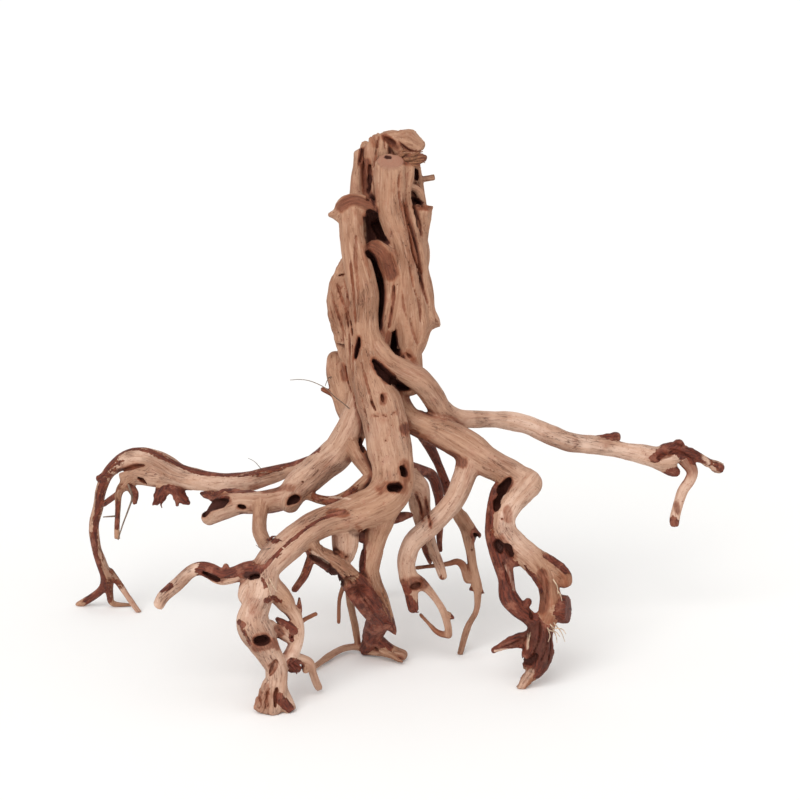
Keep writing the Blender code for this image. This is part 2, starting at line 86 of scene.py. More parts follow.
# The stems fused into the trunk, from the sawn crown down to where the roots part.
trunkLines = {
    "frontStem": [(-5, 119.6, -30, 6), (-5, 111, -30, 6.9), (-5, 100, -30, 6.6), (-4, 92.5, -29, 6.4),
        (-0.5, 82, -28, 5.6), (1.5, 75, -27, 5.5), (2.5, 67.5, -26, 6), (2.8, 57.5, -25, 6.5),
        (2.6, 47.5, -24, 6.6), (3.5, 37.5, -22, 6), (4, 28, -19, 6), (5, 18, -17, 6), (5, 8, -15, 6)],
    "stemShoulder": [(-11.8, 115, -28, 1.8), (-10.8, 111, -28.5, 2.8), (-9.5, 105, -29, 3),
        (-8.5, 98, -29, 3)],
    "rightBelly": [(6.5, 55, -20, 5), (7.5, 44, -21, 6.2), (8, 35, -21, 6.2), (6, 26, -20, 5.2),
        (4.5, 17, -18, 4.4)],
    "neckRidge": [(4, 121, -24, 3.4), (4.6, 117, -26, 2.5), (4.5, 110, -27, 2.3), (3.3, 104, -27, 2.2),
        (4, 97.5, -26, 2.2), (5.5, 91, -25, 2.2), (7.5, 84, -24, 2.2), (9.3, 77, -23, 2.3),
        (10.4, 70, -22, 2.4), (11.2, 63.5, -20, 2.6), (11.5, 52, -18, 3)],
    "leftStem": [(-25, 97, -28, 5.6), (-24.4, 92.5, -29, 6), (-24, 82.5, -30.5, 5.8), (-22, 72, -31, 6.3),
        (-20.2, 64, -31, 6.9), (-17.7, 52, -31, 7.1), (-17.8, 42, -30, 7), (-17.3, 30, -29, 7.2),
        (-15, 15, -28, 9), (-11.5, 2.5, -28, 10.5), (-8, -10, -29, 11), (-5.5, -22.5, -31, 11),
        (-3.5, -34, -33, 10.5), (-4.5, -45, -36, 10), (-12.5, -52.5, -40, 9.5), (-25, -57, -44, 8.3),
        (-37.5, -60.5, -48, 7.5), (-47.5, -66, -52, 7.5), (-57.5, -74, -56, 7.5), (-66, -82.5, -60, 7),
        (-70, -90, -62, 6)],
    "stemHood": [(-29.8, 93.5, -28, 3.6), (-27.4, 97, -29, 4.6), (-22.5, 98.4, -29.5, 4.9),
        (-16.6, 96.6, -29, 4.6), (-12.4, 93.5, -28, 3.2)],
    "stemSpur": [(-28, 92, -28, 4), (-32, 92.8, -28, 2.4), (-35, 92.6, -28, 1.2)],
    "leftStrand": [(-24.5, 60, -27, 2.6), (-25.5, 48, -26, 2.6), (-25.3, 38, -25, 2.6),
        (-24.8, 28, -24, 2.7), (-23.5, 17, -22, 3), (-21, 6, -19, 3.6)],
    "innerStub": [(-15, 76.5, -26, 2.6), (-11.6, 76.2, -27, 4.2), (-7.6, 73, -27.5, 5.4),
        (-5.4, 67.4, -27, 5.2), (-4.3, 60, -26, 4.3), (-4.5, 52, -26, 3.6), (-5.2, 44, -25.5, 3.3),
        (-6.5, 37, -25, 3.2), (-7.5, 30, -24, 3), (-8.5, 23, -22, 3.4)],
    "middleStrand": [(-1.2, 71, -27.5, 1.7), (-0.8, 61, -29, 1.8), (-1.2, 52, -29, 1.9),
        (-2.4, 44, -28, 1.9), (-4, 36, -26, 1.8)],
    "backLeftStem": [(-20.8, 126.5, -16, 2.5), (-21, 118, -16, 2.7), (-21.5, 110, -15.5, 3.2),
        (-21.3, 100, -15, 4.2), (-20, 87, -14, 6), (-18, 70, -12, 8), (-19, 50, -10, 9),
        (-18, 30, -8, 9.5), (-15, 12, -6, 10)],
    "leftRib": [(-15.5, 130, -16, 2.8), (-14.6, 125, -18, 3.4), (-14.2, 119, -20, 3.6),
        (-13.4, 112, -21, 3.2), (-12.5, 103, -21, 2.8)],
    "leftBurl": [(-23, 71, -18, 4), (-27, 60, -17, 7), (-28.8, 52, -17, 7.6), (-28.6, 44, -16.5, 7.4),
        (-26.8, 36, -15.5, 7), (-24, 25, -14, 6.5), (-21, 12.5, -13, 6.5), (-18, 0, -12, 7)],
    "backRightStem": [(3, 130, -8, 5.5), (1.5, 125, -9, 8), (1, 112, -9, 9), (3, 98, -9, 8.5),
        (4.5, 83, -9, 8.6), (5, 67, -8, 9.2), (5.5, 50, -8, 10.8), (5, 36, -7, 10.2), (2, 24, -6, 7.8),
        (-1, 9, -5, 6.2), (-3, -5, -5, 6.5)],
    "crownRib": [(-9.5, 132, -13, 4), (-10, 126, -12.5, 5.5), (-11, 118, -12, 7), (-12, 105, -12, 7.5),
        (-11, 90, -12, 7.5), (-8, 70, -10, 8), (-6, 50, -8, 9), (-5, 30, -7, 9.5), (-6, 10, -6, 9),
        (-6, -8, -6, 9)],
    "crownWall": [(-17.6, 127.4, -12, 2.2), (-17.8, 120, -11, 3.6), (-17.6, 110, -10, 5),
        (-17, 98, -9, 6)],
    "crownFill": [(-11, 129.6, -13, 3), (-5, 131, -12, 3.6), (0, 130, -11, 4.4)],
    "backRib": [(-5, 127, -4, 5.5), (-7, 118, -2, 7), (-7, 95, 2, 8), (-4, 65, 4, 9), (-6, 35, 6, 9.4),
        (-7, 8, 6, 9), (-6, -10, 6, 8.5)],
    "rightRib": [(6.2, 118, -13, 3.4), (8.2, 108, -13, 3.2), (9.8, 98.5, -13, 3.2), (10, 90, -13, 3.6)],
    "linkRidge": [(4.5, 107, -24, 1.9), (8.6, 105, -20, 2), (10.8, 100.5, -18, 2.1),
        (11.3, 95, -17, 2.2)],
    "rightStub": [(11.4, 97, -19, 5.6), (11, 92.5, -19, 4.9), (10.7, 87, -18.5, 4.1),
        (10.4, 80, -18, 3.6), (10, 72, -17, 3.6), (10, 64, -17, 4.3), (10.6, 56, -16.5, 5),
        (11.4, 48, -16, 5.7), (12.2, 40, -15, 5.7), (9.5, 32, -14, 5.2), (5.6, 25, -13, 4.9),
        (3.5, 16, -11, 5), (0.5, 7, -9, 5)],
    "rightBurl": [(9, 45, -15, 6), (14, 40.5, -15, 5.2), (17.2, 38.5, -15, 3), (18.6, 37.5, -15, 1.6)],
    "crownHead": [(-2.5, 131, -14, 2.2), (1, 131.2, -15, 3.4), (5, 130.2, -15.5, 4.6),
        (8.4, 128.2, -15.5, 3.8), (10.4, 127.4, -15, 2.2)],
    "crownCheek": [(4, 129, -14.5, 4), (5.6, 124.5, -14.5, 3.8), (5, 117, -14, 4)],
    "crownKnob": [(-2, 126, -17, 2), (-0.5, 124.4, -19, 2.3)],
    "splinters": [(1, 121.6, -20, 2.8), (5.5, 121.6, -21, 3.2), (9, 121, -20.5, 2.6),
        (12, 120.8, -20, 1.4)],
    "rightPin": [(6.5, 108.8, -13, 1.7), (9, 109.8, -13, 1.5), (13, 110.6, -12.5, 1.4),
        (17.3, 111.4, -12, 1.4)],
    "lowLeftKnob": [(-32, 20, -4, 4.6), (-31.8, 14, -4, 5.6), (-29.5, 6, -5, 5.8), (-26, -4, -7, 6.2),
        (-21, -14, -9, 6)],
    "lowLeftFill": [(-27, 16, -7, 4.6), (-25, 8, -8, 5.4), (-23, -2, -9, 6)],
    "lowLeftSpur": [(-31, 2, -6, 2), (-38.5, 5.3, -7, 1.2)],
}

# The roots on the viewer's left: the shoulder, the long arm behind it and the front left leg.
leftLines = {
    "shoulder": [(-17, 5, -14, 7), (-21, -5, -15, 7.5), (-24.5, -15, -15, 8), (-30, -25, -14, 8.5),
        (-39, -33, -12, 8.3), (-49, -41.5, -11, 7.8), (-57.5, -48.6, -10, 6.5), (-69, -51.4, -9, 6),
        (-80, -51.4, -8, 6.2), (-89, -54.4, -7, 6), (-95, -58.6, -6, 4.2)],
    "shoulderStub": [(-50, -43, -12, 6.2), (-55, -51.5, -14, 4.9)],
    "leftArm": [(-32.5, -26, -4, 3.6), (-45, -31, 2, 3.7), (-57, -35.2, 8, 3.8), (-66, -37.8, 12, 4.6),
        (-76.5, -40.6, 16, 5), (-87.5, -41.5, 20, 5), (-100, -40, 25, 5.3), (-111, -37, 29, 5.6),
        (-121, -31.8, 34, 6), (-130, -29.4, 38, 5.4), (-139.5, -31.3, 42, 4.2), (-146, -36.8, 46, 3.2),
        (-149.5, -45, 50, 2.9), (-151, -53.5, 54, 2.8), (-153, -62.5, 58, 2.8), (-152, -72.5, 62, 2.8),
        (-149.5, -81, 66, 3), (-146.5, -88.5, 70, 3)],
    "leftToeOuter": [(-146.5, -88, 70, 3), (-148.5, -94, 73, 2.2), (-154, -98.5, 78, 2),
        (-160.5, -102.5, 83, 2)],
    "leftToeMiddle": [(-146, -89, 70, 3), (-145, -97, 76, 2), (-143.5, -101.5, 80, 1.5),
        (-135, -103, 82, 1.3)],
    "leftToeInner": [(-145, -86, 69, 2.2), (-140, -92.5, 71, 1.7), (-135.5, -99, 72, 1.6),
        (-130, -107, 73, 1.4)],
    "armWeb": [(-105, -41, 31, 4.4), (-115, -40, 32, 5), (-124, -38.5, 34, 5.4), (-131, -37.5, 36, 5),
        (-137, -38, 38, 3.6)],
    "armFork": [(-120, -33, 34, 5.5), (-132, -38, 36, 4.2), (-138, -43, 38, 3), (-140.5, -47, 39, 2.1),
        (-141, -55, 40, 1.7), (-141.5, -62, 41, 1.5), (-141.5, -69.5, 42, 1.4)],
    "armBrace": [(-140.5, -46.5, 39, 1.7), (-148, -52, 50, 1.7)],
    "armSpurOuter": [(-117, -42, 33, 3.6), (-119.5, -46, 31, 3), (-121.5, -50, 30, 2),
        (-123.5, -52, 29, 1)],
    "armSpurMiddle": [(-119, -43, 32, 2.6), (-118, -47.5, 30, 1.7), (-119, -50.5, 29, 0.9)],
    "armSpurInner": [(-115.5, -42, 33, 3.4), (-112.5, -45, 31, 3.4), (-109.5, -49, 30, 2.8),
        (-106, -51.5, 29, 1.2)],
    "armSpurTip": [(-111.5, -48, 30, 2), (-111.5, -52.5, 29, 0.9)],
    "shoulderBrace": [(-69, -50, -10, 3.8), (-70.5, -61, -22, 3.6), (-69, -69, -38, 3.6),
        (-64, -76, -54, 3.6)],
    "crossTwig": [(-53, -44, -11, 2.8), (-44, -48.5, -14, 2.3), (-34, -50.5, -18, 2.5),
        (-26, -47.5, -24, 2.6), (-17, -40, -30, 2.8)],
    "crossTwigFork": [(-27, -48.5, -23, 2.5), (-22, -56, -36, 2.5)],
    "innerStrand": [(-26, -17, -18, 3.6), (-23.4, -22, -20, 4.2), (-20.4, -28, -22, 4.6),
        (-17, -33.5, -25, 4), (-12, -41, -29, 3.2)],
    "leftLeg": [(-68, -87, -62, 6.5), (-69, -96, -63, 6.5), (-73, -106, -64, 7.2),
        (-73.5, -112, -64, 8.2), (-70, -119.5, -64, 8), (-65.5, -127, -63, 6), (-62, -134, -62, 5.2),
        (-62.2, -142, -61, 5.6), (-63, -149, -60, 5.8), (-63.6, -153, -60, 5.4)],
    "leftFootLobe": [(-65, -143, -62, 3.4), (-68, -149, -63, 3.4), (-69.4, -153, -62, 3.2)],
    "rungBark": [(-61, -110, -58, 1.5), (-57.5, -112.5, -57, 2.2), (-53.5, -115, -56, 2.6)],
    "leftLegToe": [(-61, -145, -60, 4), (-57, -152, -60, 3.7), (-54.4, -156, -60, 2.6)],
    "leftLegStrand": [(-66, -89, -60, 4.8), (-61, -96, -58, 4.2), (-56.2, -103, -56, 3.5),
        (-52, -109, -55, 3.3), (-50.8, -115, -54, 3.3), (-52, -121.5, -54.5, 3.4),
        (-54.8, -128, -57, 3.7), (-58.5, -132, -59, 3.6), (-61, -137, -60, 3.2)],
    "leftLegRung": [(-65, -113, -62, 3), (-59, -117, -59, 2.6), (-53.5, -120, -56, 2.8)],
    "leftLegTwig": [(-54, -129, -56, 2.6), (-49, -129.6, -53, 2.3), (-45, -131.6, -50, 2.3),
        (-43.4, -136.5, -46, 2), (-41.8, -141, -42, 2), (-40.5, -144, -38, 2)],
    "leftLegTwigKnob": [(-47, -132, -51, 2.3), (-47.2, -135, -50, 1.7)],
    "leftLegBridge": [(-67, -93, -60, 5), (-61, -97, -58, 4.8), (-57.5, -101, -57, 4)],
    "leftLegSpur": [(-56.5, -131, -57, 3), (-53.5, -133.5, -54, 2.8), (-51.5, -134.5, -52, 1.6)],
    "leftKnob": [(-70, -90, -61, 5), (-75, -94, -60, 5), (-76.5, -97.5, -59, 4.6)],
    "leftLegPin": [(-51, -112, -53, 1.4), (-47, -109.3, -49, 1.1), (-41.8, -106.8, -44, 1.1)],
    "leftLegHorn": [(-51, -108, -54, 2), (-50.3, -104, -54, 1.6), (-50.4, -99, -54, 0.7)],
    "lowLeftRoot": [(-67, -85, -61, 5), (-76, -85, -61, 4.2), (-83, -87.5, -60, 3.9),
        (-89, -88.5, -59, 3.8), (-94, -86, -57, 3.8), (-99, -84.5, -55, 3.5), (-104.5, -86, -53, 3.1),
        (-110.5, -91.5, -50, 3), (-118, -98, -46, 3), (-121, -103, -44, 2.8)],
    "lowLeftBud": [(-87.5, -87, -59, 2), (-87, -83.2, -59, 1.5)],
}

# The roots under the trunk: the middle leg, the dark root across it and the ones on the floor.
middleLines = {
    "middleLeg": [(-8, -47, -37, 8.5), (-10, -60, -36, 6.4), (-12.2, -70, -33, 5.4),
        (-15, -81, -29.5, 4.8), (-14.4, -90, -25, 4.8), (-10, -99, -19, 4), (-6.6, -107, -12.5, 3),
        (-4.2, -112, -8.5, 1.8)],
    "paleStub": [(-29, -56, -43, 5), (-28, -64, -41, 6.2), (-27.4, -71, -39, 6), (-28, -77.5, -37, 4.6)],
    "darkRoot": [(-45, -72, -52, 4), (-41, -77, -48, 4.5), (-34, -81, -43, 4.6), (-27, -87, -37, 5),
        (-20.5, -95, -31, 5.6), (-13.7, -103.5, -22, 5.6), (-10.4, -110, -11.5, 5.7),
        (-14, -117.5, 1, 4.6), (-17.5, -125, 11, 2.6)],
    "darkRootSplinter": [(-10, -106, -15, 3.6), (-6.2, -111, -12, 3.3), (-3.6, -114.6, -10, 2.2),
        (-2.4, -117, -9, 0.9)],
    "darkRootHeel": [(-12, -119, 2, 3.4), (-6.5, -123.5, 4, 3), (-1, -127.5, 4, 2.8)],
    "floorRoot": [(-43, -133.5, -9, 1.2), (-34.5, -127.5, 5, 1.7), (-28, -124.2, 13, 1.8),
        (-21.5, -123.5, 15, 1.9), (-15, -125, 11, 2.6), (-7, -125.5, 6, 3.2), (1, -127.5, 3, 3)],
    "floorRootTip": [(-9, -125.8, 2, 2), (-4, -128.2, 0.5, 1.3), (-1, -129.9, -1, 1.1),
        (1, -130.8, -2, 0.8)],
    "thinLeg": [(-27, -86, -33, 2.2), (-25.5, -97, -10, 1.8), (-24.3, -104, 1, 1.8),
        (-22.5, -113.5, 12, 1.8), (-21, -122, 15, 1.8)],
    "thinTwig": [(-26.5, -89, -28, 1.5), (-29, -95, -19, 1.25), (-30.5, -101, -14, 1.15),
        (-30.7, -111, -11, 1.1)],
    "underTwig": [(-43, -74, -51, 2.4), (-45.5, -82, -48, 2.1), (-48, -88, -46, 1.9),
        (-52.5, -94.5, -44, 1.7)],
    "backLeg": [(-3, -6, 2, 8), (-3, -22, 22, 7), (-5, -40, 46, 5.8), (-9, -60, 66, 4.6),
        (-13, -80, 82, 3.9), (-15.5, -95, 90, 3.4), (-16.5, -101.5, 93, 3)],
    "backStub": [(-5, 10, 4, 8), (-6, 8, 30, 6.4), (-8, 3, 56, 5.4)],
}

# The roots on the viewer's right: the crossing root and arm, the front right leg and its branches.
rightLines = {
    "crossingRoot": [(-17, 33, -26, 5.5), (-12, 26.5, -29, 6), (-8, 21, -30, 5.8), (-3, 17, -29, 5.8),
        (4, 13.5, -26, 6), (10.5, 9.5, -22, 6.2), (16.5, 2, -17, 5.9), (21, -4.5, -12, 5.2),
        (27, -8.5, -7, 4.6), (36, -9.5, -2, 4.2), (46, -9.7, 3, 4.2), (57, -10.8, 8, 4.6),
        (68, -14.2, 12, 5), (76.5, -18, 15, 5.4), (83, -20.5, 17, 5.3), (92, -22, 20, 4.8),
        (100, -23, 22, 4.6), (114.5, -25.7, 26, 4.4), (127.5, -28.6, 30, 5.7), (134, -29.5, 32, 5.2)],
    "armKnob": [(95.4, -20.8, 21, 1.2), (100.5, -19.4, 22, 2), (108, -18.4, 23, 2.5)],
    "armEnd": [(133, -27, 32, 4.8), (141, -26.6, 34, 3.8), (146, -27.6, 36, 3), (150.5, -29.2, 37, 2.3),
        (154.5, -31.6, 38.5, 2.1), (158.6, -33.4, 40, 2.8), (161.2, -34.2, 40.6, 2)],
    "armEndKnob": [(133, -27, 32, 4), (139, -22.5, 33, 3)],
    "armEndStub": [(131, -31, 32, 4.4), (135.4, -34.6, 33, 3.4), (138, -36, 33.5, 2.2)],
    "hangingTwig": [(142, -29, 35, 3.6), (146, -35, 35.5, 3), (145, -40, 36, 2.8), (141.7, -45, 36, 2.6),
        (139.5, -51, 36.5, 2.5), (137.9, -57, 37, 2.5), (137.3, -60.6, 37, 2.5), (137.5, -63.4, 37, 1.9)],
    "rightRoot": [(-5, 12, -9, 7), (-2.5, 4, -10, 6), (0.5, -3, -11, 5.6), (5, -9.5, -13, 5.9),
        (11.5, -13, -14, 6.8), (20, -16, -14, 7.5), (32.5, -23, -17, 8), (45, -31.5, -20, 7.5),
        (56, -37, -24, 7), (64, -42, -27, 6.5)],
    "rightLeg": [(64, -41.5, -27, 6.6), (60.5, -46, -29, 6.4), (55.5, -52, -31, 5), (52, -59, -33, 5),
        (53, -66.5, -34, 5.7), (59, -73.5, -35, 5.8), (66, -80, -35, 5.6), (71.5, -87, -34, 5),
        (74.6, -95, -33, 4.7), (74.5, -105, -32, 4.7), (72.5, -111.5, -31, 4.9), (70.5, -117, -31, 5)],
    "rightLegFoot": [(71.5, -110, -31, 4.4), (69.5, -118, -31, 6.2), (68.6, -126, -31, 6.6),
        (67.8, -132, -31, 5.4), (65.6, -136.6, -30.5, 3.6), (62.4, -141, -30.5, 2.5),
        (60, -144.5, -30.5, 2)],
    "rightLegBack": [(55, -41, -20, 3.4), (51.5, -47, -22, 4), (49, -54, -25, 3.6), (48, -60, -28, 3)],
    "rightLegClump": [(71.5, -116, -33, 5), (72, -124, -34, 5), (70.4, -131, -33, 4.2),
        (68, -136, -32, 3)],
    "rightLegStrand": [(53, -39, -26, 3), (47.5, -46, -29, 2.6), (45.3, -56, -32, 2.4),
        (45.6, -66, -33, 3.2), (48.6, -74, -34, 4.2), (51, -80, -34, 4.7), (53.2, -90, -34, 4),
        (54, -98, -33.5, 4.6), (58.5, -104, -33, 4.4), (64, -108.5, -32, 3.8), (69, -114, -31, 3.4)],
    "rightLegWeb": [(46.5, -66, -34, 3), (52.5, -72, -34, 4), (57.6, -79, -34, 4.3)],
    "rightLegKnob": [(65, -77.5, -34, 4.8), (75, -82.8, -33, 4.4), (81.2, -87.2, -32, 3.9),
        (82.6, -90.4, -32, 3.4)],
    "rightLegStub": [(75, -104, -32, 5), (80.5, -104.5, -31, 6.2), (84, -104.5, -31, 6.5)],
    "rightLegThorn": [(69, -119, -31, 4.6), (58, -120.5, -31, 3.3), (50, -123.5, -31, 1.8),
        (46.8, -125.3, -31, 1.3)],
    "rightLegBud": [(60, -106, -33, 2.2), (64, -101, -33, 2)],
    "forkedRoot": [(36, -27, -18, 6.5), (31.5, -40, -20, 5.4), (26, -51.5, -21, 5), (16, -62, -21, 5),
        (6.5, -71.5, -20, 4.8), (3, -81, -18, 4.4), (4, -90, -16, 4.1), (5.5, -97.5, -15, 3.4),
        (6.5, -104, -14, 2.8)],
    "forkedRootTwig": [(4, -88.5, -16, 4), (8.6, -91.2, -15.4, 3.6), (12.8, -93.4, -14.6, 2.3),
        (16.9, -98, -12, 1.9), (21.4, -105.5, -10, 1.9), (23.8, -112.5, -8, 1.8),
        (24.2, -117.3, -7, 1.8)],
    "forkedRootTip": [(24, -117.6, -7, 1.6), (20.6, -117, -6, 1.7), (17.6, -115.2, -5, 1.4),
        (14, -111.4, -4, 0.95), (10.3, -107.4, -3, 0.8)],
    "hiddenRoot": [(9, -10, -8, 5), (13, -20, -1, 3), (16.4, -26, 4, 2.3), (19.6, -33, 7, 2.1),
        (22, -40, 8, 2.3), (25, -48, 10, 2.8), (28.5, -56, 11, 3.2), (32.5, -63, 12, 3.2),
        (34.5, -72, 12.5, 2.6), (36.5, -83, 13, 2.4), (38.4, -92, 13.5, 2.6), (38.9, -96, 13.5, 2.1),
        (38.2, -105, 13.5, 1.6), (34.3, -112.5, 13.5, 1.7), (32, -119.5, 13, 1.6), (30, -127, 13, 1.4)],
    "hiddenRootStub": [(31, -59, 11, 3.4), (36, -66.5, 12, 3.2), (38.6, -69, 12, 3)],
    "darkArch": [(2, -34, -22, 4.6), (11.5, -35.5, -10, 3), (16, -38, -5, 2.8), (18.3, -43.5, -2, 2.7),
        (19.6, -50, 0, 2.4), (20, -60, 2, 2), (19.8, -70, 4, 1.5), (20.2, -75, 5, 1.2)],
    "paleArch": [(2, -39, -29, 6), (7.4, -41.8, -20, 5.6), (9.3, -47, -15, 5.4), (10.2, -55, -11, 5),
        (12.4, -64, -8, 4.2), (15.6, -73, -6, 3), (19, -81, -5, 2.5), (21.3, -88, -4, 2.1)],
    "paleArchStrand": [(11, -60, -8, 2.8), (12.5, -73.5, -4, 2), (15, -81, -3, 1.3)],
    "levelTwig": [(36.5, -88, 13.5, 2.1), (34.2, -89.6, 13, 2.1), (32.6, -86, 12.6, 1.8),
        (31.4, -82.6, 12, 2), (28.5, -80.8, 11, 1.6), (23.5, -82, 9, 1.25), (16, -83, 5, 1.1),
        (8.3, -83.9, 1, 1.1)],
    "darkFlap": [(-8.5, -61, -36, 2), (-4, -60, -34, 2.2), (-0.5, -58.4, -32, 2.4),
        (3, -57.8, -30.5, 1.7), (6.4, -57.6, -29, 0.8)],
    "stubBridge": [(-26, -66.4, -36, 3.4), (-21, -67.4, -33, 3.5), (-16, -68, -31, 3.4)],
    "shoulderWeb": [(-98, -47.4, 6, 1.8), (-92, -48, 1, 2.8), (-84, -47.6, -3, 3.2),
        (-74, -47.4, -6, 2.6)],
    "armBud": [(-147, -38.4, 46, 2.6), (-150.4, -39.4, 46, 1.7)],
    "armForkSpur": [(-136.5, -41, 38, 2.6), (-133, -46.6, 38, 1.9), (-132.6, -51.6, 38, 0.8)],
    "hiddenNub": [(38.4, -93, 13.5, 2), (35.4, -94.6, 13, 0.9)],
    "hiddenNubRight": [(38.9, -94.5, 13.5, 1.8), (41.6, -96.4, 13.5, 0.8)],
    "twigNub": [(24, -107.5, -9, 1.6), (26.4, -108.8, -9, 1)],
}



# How each branch differs from a plain round root; names are those of the lines above.
# blend: how softly it runs into the others, flute: depth of its grain ridges, gnarl: of its knots,
# sawn: the way its sawn end faces, broken: how rough its broken end is
shapes = {
    "frontStem": {"blend": 1.2, "flute": 0.42, "sawn": (0.06, -0.47, 0.88)},
    "stemShoulder": {"blend": 1.4, "flute": 0.25}, "rightBelly": {"blend": 1.6, "flute": 0.6, "gnarl": 0.3},
    "neckRidge": {"blend": 0.7, "flute": 0.2}, "leftStem": {"blend": 1.4, "flute": 0.5},
    "stemHood": {"blend": 1, "flute": 0.3}, "leftStrand": {"blend": 1, "flute": 0.25},
    "innerStub": {"blend": 0.9, "flute": 0.25}, "middleStrand": {"blend": 0.8, "flute": 0.2},
    "backLeftStem": {"blend": 1, "flute": 0.4, "broken": 1.6},
    "leftRib": {"blend": 1, "flute": 0.3, "broken": 1.6},
    "leftBurl": {"blend": 1.6, "flute": 0.75, "gnarl": 0.5},
    "backRightStem": {"blend": 1.4, "flute": 0.6, "broken": 1.5},
    "crownRib": {"blend": 1, "flute": 0.4, "broken": 2},
    "backRib": {"blend": 2, "flute": 0.6, "broken": 2.5},
    "rightRib": {"blend": 0.9, "flute": 0.3, "broken": 1.5}, "linkRidge": {"blend": 0.7, "flute": 0.15},
    "rightStub": {"blend": 1, "flute": 0.5, "broken": 0.8},
    "rightBurl": {"blend": 1.6, "flute": 0.6, "gnarl": 0.6},
    "crownHead": {"blend": 1.4, "flute": 0.3, "gnarl": 0.3}, "crownCheek": {"blend": 1.4, "flute": 0.3},
    "splinters": {"blend": 0.9, "flute": 0.5, "gnarl": 0.5},
    "rightPin": {"blend": 0.6, "flute": 0.1, "sawn": (0.95, 0.1, 0.2)},
    "lowLeftKnob": {"blend": 1.4, "flute": 0.4}, "leftLeg": {"blend": 1.4, "flute": 0.4, "gnarl": 0.15},
    "rightLegFoot": {"blend": 1.2, "flute": 0.9, "gnarl": 1},
    "crownWall": {"blend": 1, "flute": 0.5, "gnarl": 0.3}, "crownFill": {"blend": 1.6, "gnarl": 0.6},
    "lowLeftFill": {"blend": 2.4}, "rightLegBack": {"blend": 2, "flute": 0.3},
    "leftFootLobe": {"blend": 1.2, "flute": 0.4, "gnarl": 0.7}, "leftLegToe": {"blend": 1, "broken": 0.6},
    "rungBark": {"blend": 0.6, "flute": 0.3, "gnarl": 0.5}, "leftLegTwig": {"broken": 0.4},
    "leftLegPin": {"blend": 0.7, "broken": 0.3}, "lowLeftRoot": {"broken": 0.6}, "armWeb": {"blend": 2.2},
    "darkFlap": {"blend": 0.8, "flute": 0.5, "gnarl": 0.7}, "hiddenNub": {"blend": 0.8, "gnarl": 0.5},
    "hiddenNubRight": {"blend": 0.8, "gnarl": 0.5}, "twigNub": {"blend": 0.7, "gnarl": 0.3},
    "stubBridge": {"blend": 1, "gnarl": 0.5}, "shoulderWeb": {"blend": 1.6, "flute": 0.5, "gnarl": 0.8},
    "armBud": {"blend": 0.8, "gnarl": 0.6}, "armForkSpur": {"blend": 0.8, "gnarl": 0.5},
    "armSpurOuter": {"blend": 0.8, "flute": 0.5, "gnarl": 0.7},
    "armSpurMiddle": {"blend": 0.6, "gnarl": 0.5},
    "armSpurInner": {"blend": 0.8, "flute": 0.5, "gnarl": 0.7}, "armSpurTip": {"blend": 0.6, "gnarl": 0.4},
    "leftLegBridge": {"blend": 2.4}, "leftLegSpur": {"blend": 0.9, "gnarl": 0.6}, "leftArm": {"flute": 0.3},
    "armFork": {"broken": 0.5}, "rightLegClump": {"blend": 1.2, "flute": 0.5, "gnarl": 0.8},
    "rightLegThorn": {"blend": 1, "flute": 0.4, "gnarl": 0.4},
    "rightLegKnob": {"blend": 1.2, "flute": 0.5, "gnarl": 0.4},
    "armEnd": {"blend": 0.9, "flute": 0.4, "gnarl": 0.4, "broken": 0.4},
    "armEndKnob": {"blend": 0.8, "gnarl": 0.6}, "armKnob": {"blend": 0.9, "gnarl": 0.3},
    "darkRoot": {"blend": 1.2, "flute": 0.5, "gnarl": 0.35},
    "rightLeg": {"blend": 1.4, "flute": 0.4, "gnarl": 0.25}, "hangingTwig": {"broken": 0.8},
    "rightLegStub": {"blend": 1, "flute": 0.3, "gnarl": 0.3, "sawn": (0.93, -0.35, 0.1)},
    "hiddenRootStub": {"broken": 1}, "backStub": {"blend": 1.8, "flute": 0.5, "broken": 1.5},
}
# these are sawn or broken at their last point, the others at their first
cutAtEnd = {"hangingTwig", "rightLegStub", "hiddenRootStub", "rightPin", "backStub", "leftLegToe",
            "leftLegTwig", "leftLegPin", "lowLeftRoot", "armFork", "armEnd"}

wood = {
    "cell": 0.7, "quickCell": 1.2,  # size of the grid that the wood is formed in
    "margin": 3.0,  # room around the wood in that grid
    "reach": 3.6,  # how far outside its surface each branch is known
    "farOutside": 9.0,  # what the grid holds where no branch is near
    "step": 1.2,  # length of the segments of a branch
    "segmentsAtOnce": 6,
    "wander": 0.35, "wanderLength": 9,  # how far a centre line strays, and over what length
    "steadyEnd": 6,  # it strays less this near its ends
    "swell": 0.07, "swellLength": 5.5,  # how much a branch swells and narrows
    "blendShare": 0.35, "blendRange": (0.8, 2.4),  # where a shape gives no blend or flute
    "fluteShare": 0.06, "fluteRange": (0.12, 0.45),
    "cutReach": 12,  # how far from a cut end its plane cuts
    "tearWide": 1.6, "tearLong": 14, "tearLean": 20,  # splinters of a broken end
    "lumpBand": 2.5, "lumps": 0.22,
    "floor": 0.1,  # the feet are worn level at this height
    "pulls": 2, "pull": 0.7,  # how often and how far the skin is pulled to the surface
    "triangles": 194000, "quickTriangles": 90000,
    "grainStretch": 0.10,
    "seed": 7, "branchSeed": 100, "noiseSize": 48,
}
ridges = {  # strands along a branch, finer ones on them, and knots: sizes in millimetres
    "wide": 3.6, "long": 26, "apart": 5.3,
    "fineShare": 0.42, "fineWide": 1.7, "fineLong": 13, "fineApart": 3.1,
    "strength": 1.6,
    "knotWide": 2.3, "knotLong": 4.2,
}
cell = wood["cell"]
noiseSize = wood["noiseSize"]
lumpGrid = np.random.default_rng(wood["seed"]).random((noiseSize,) * 3).astype(np.float32) * 2 - 1


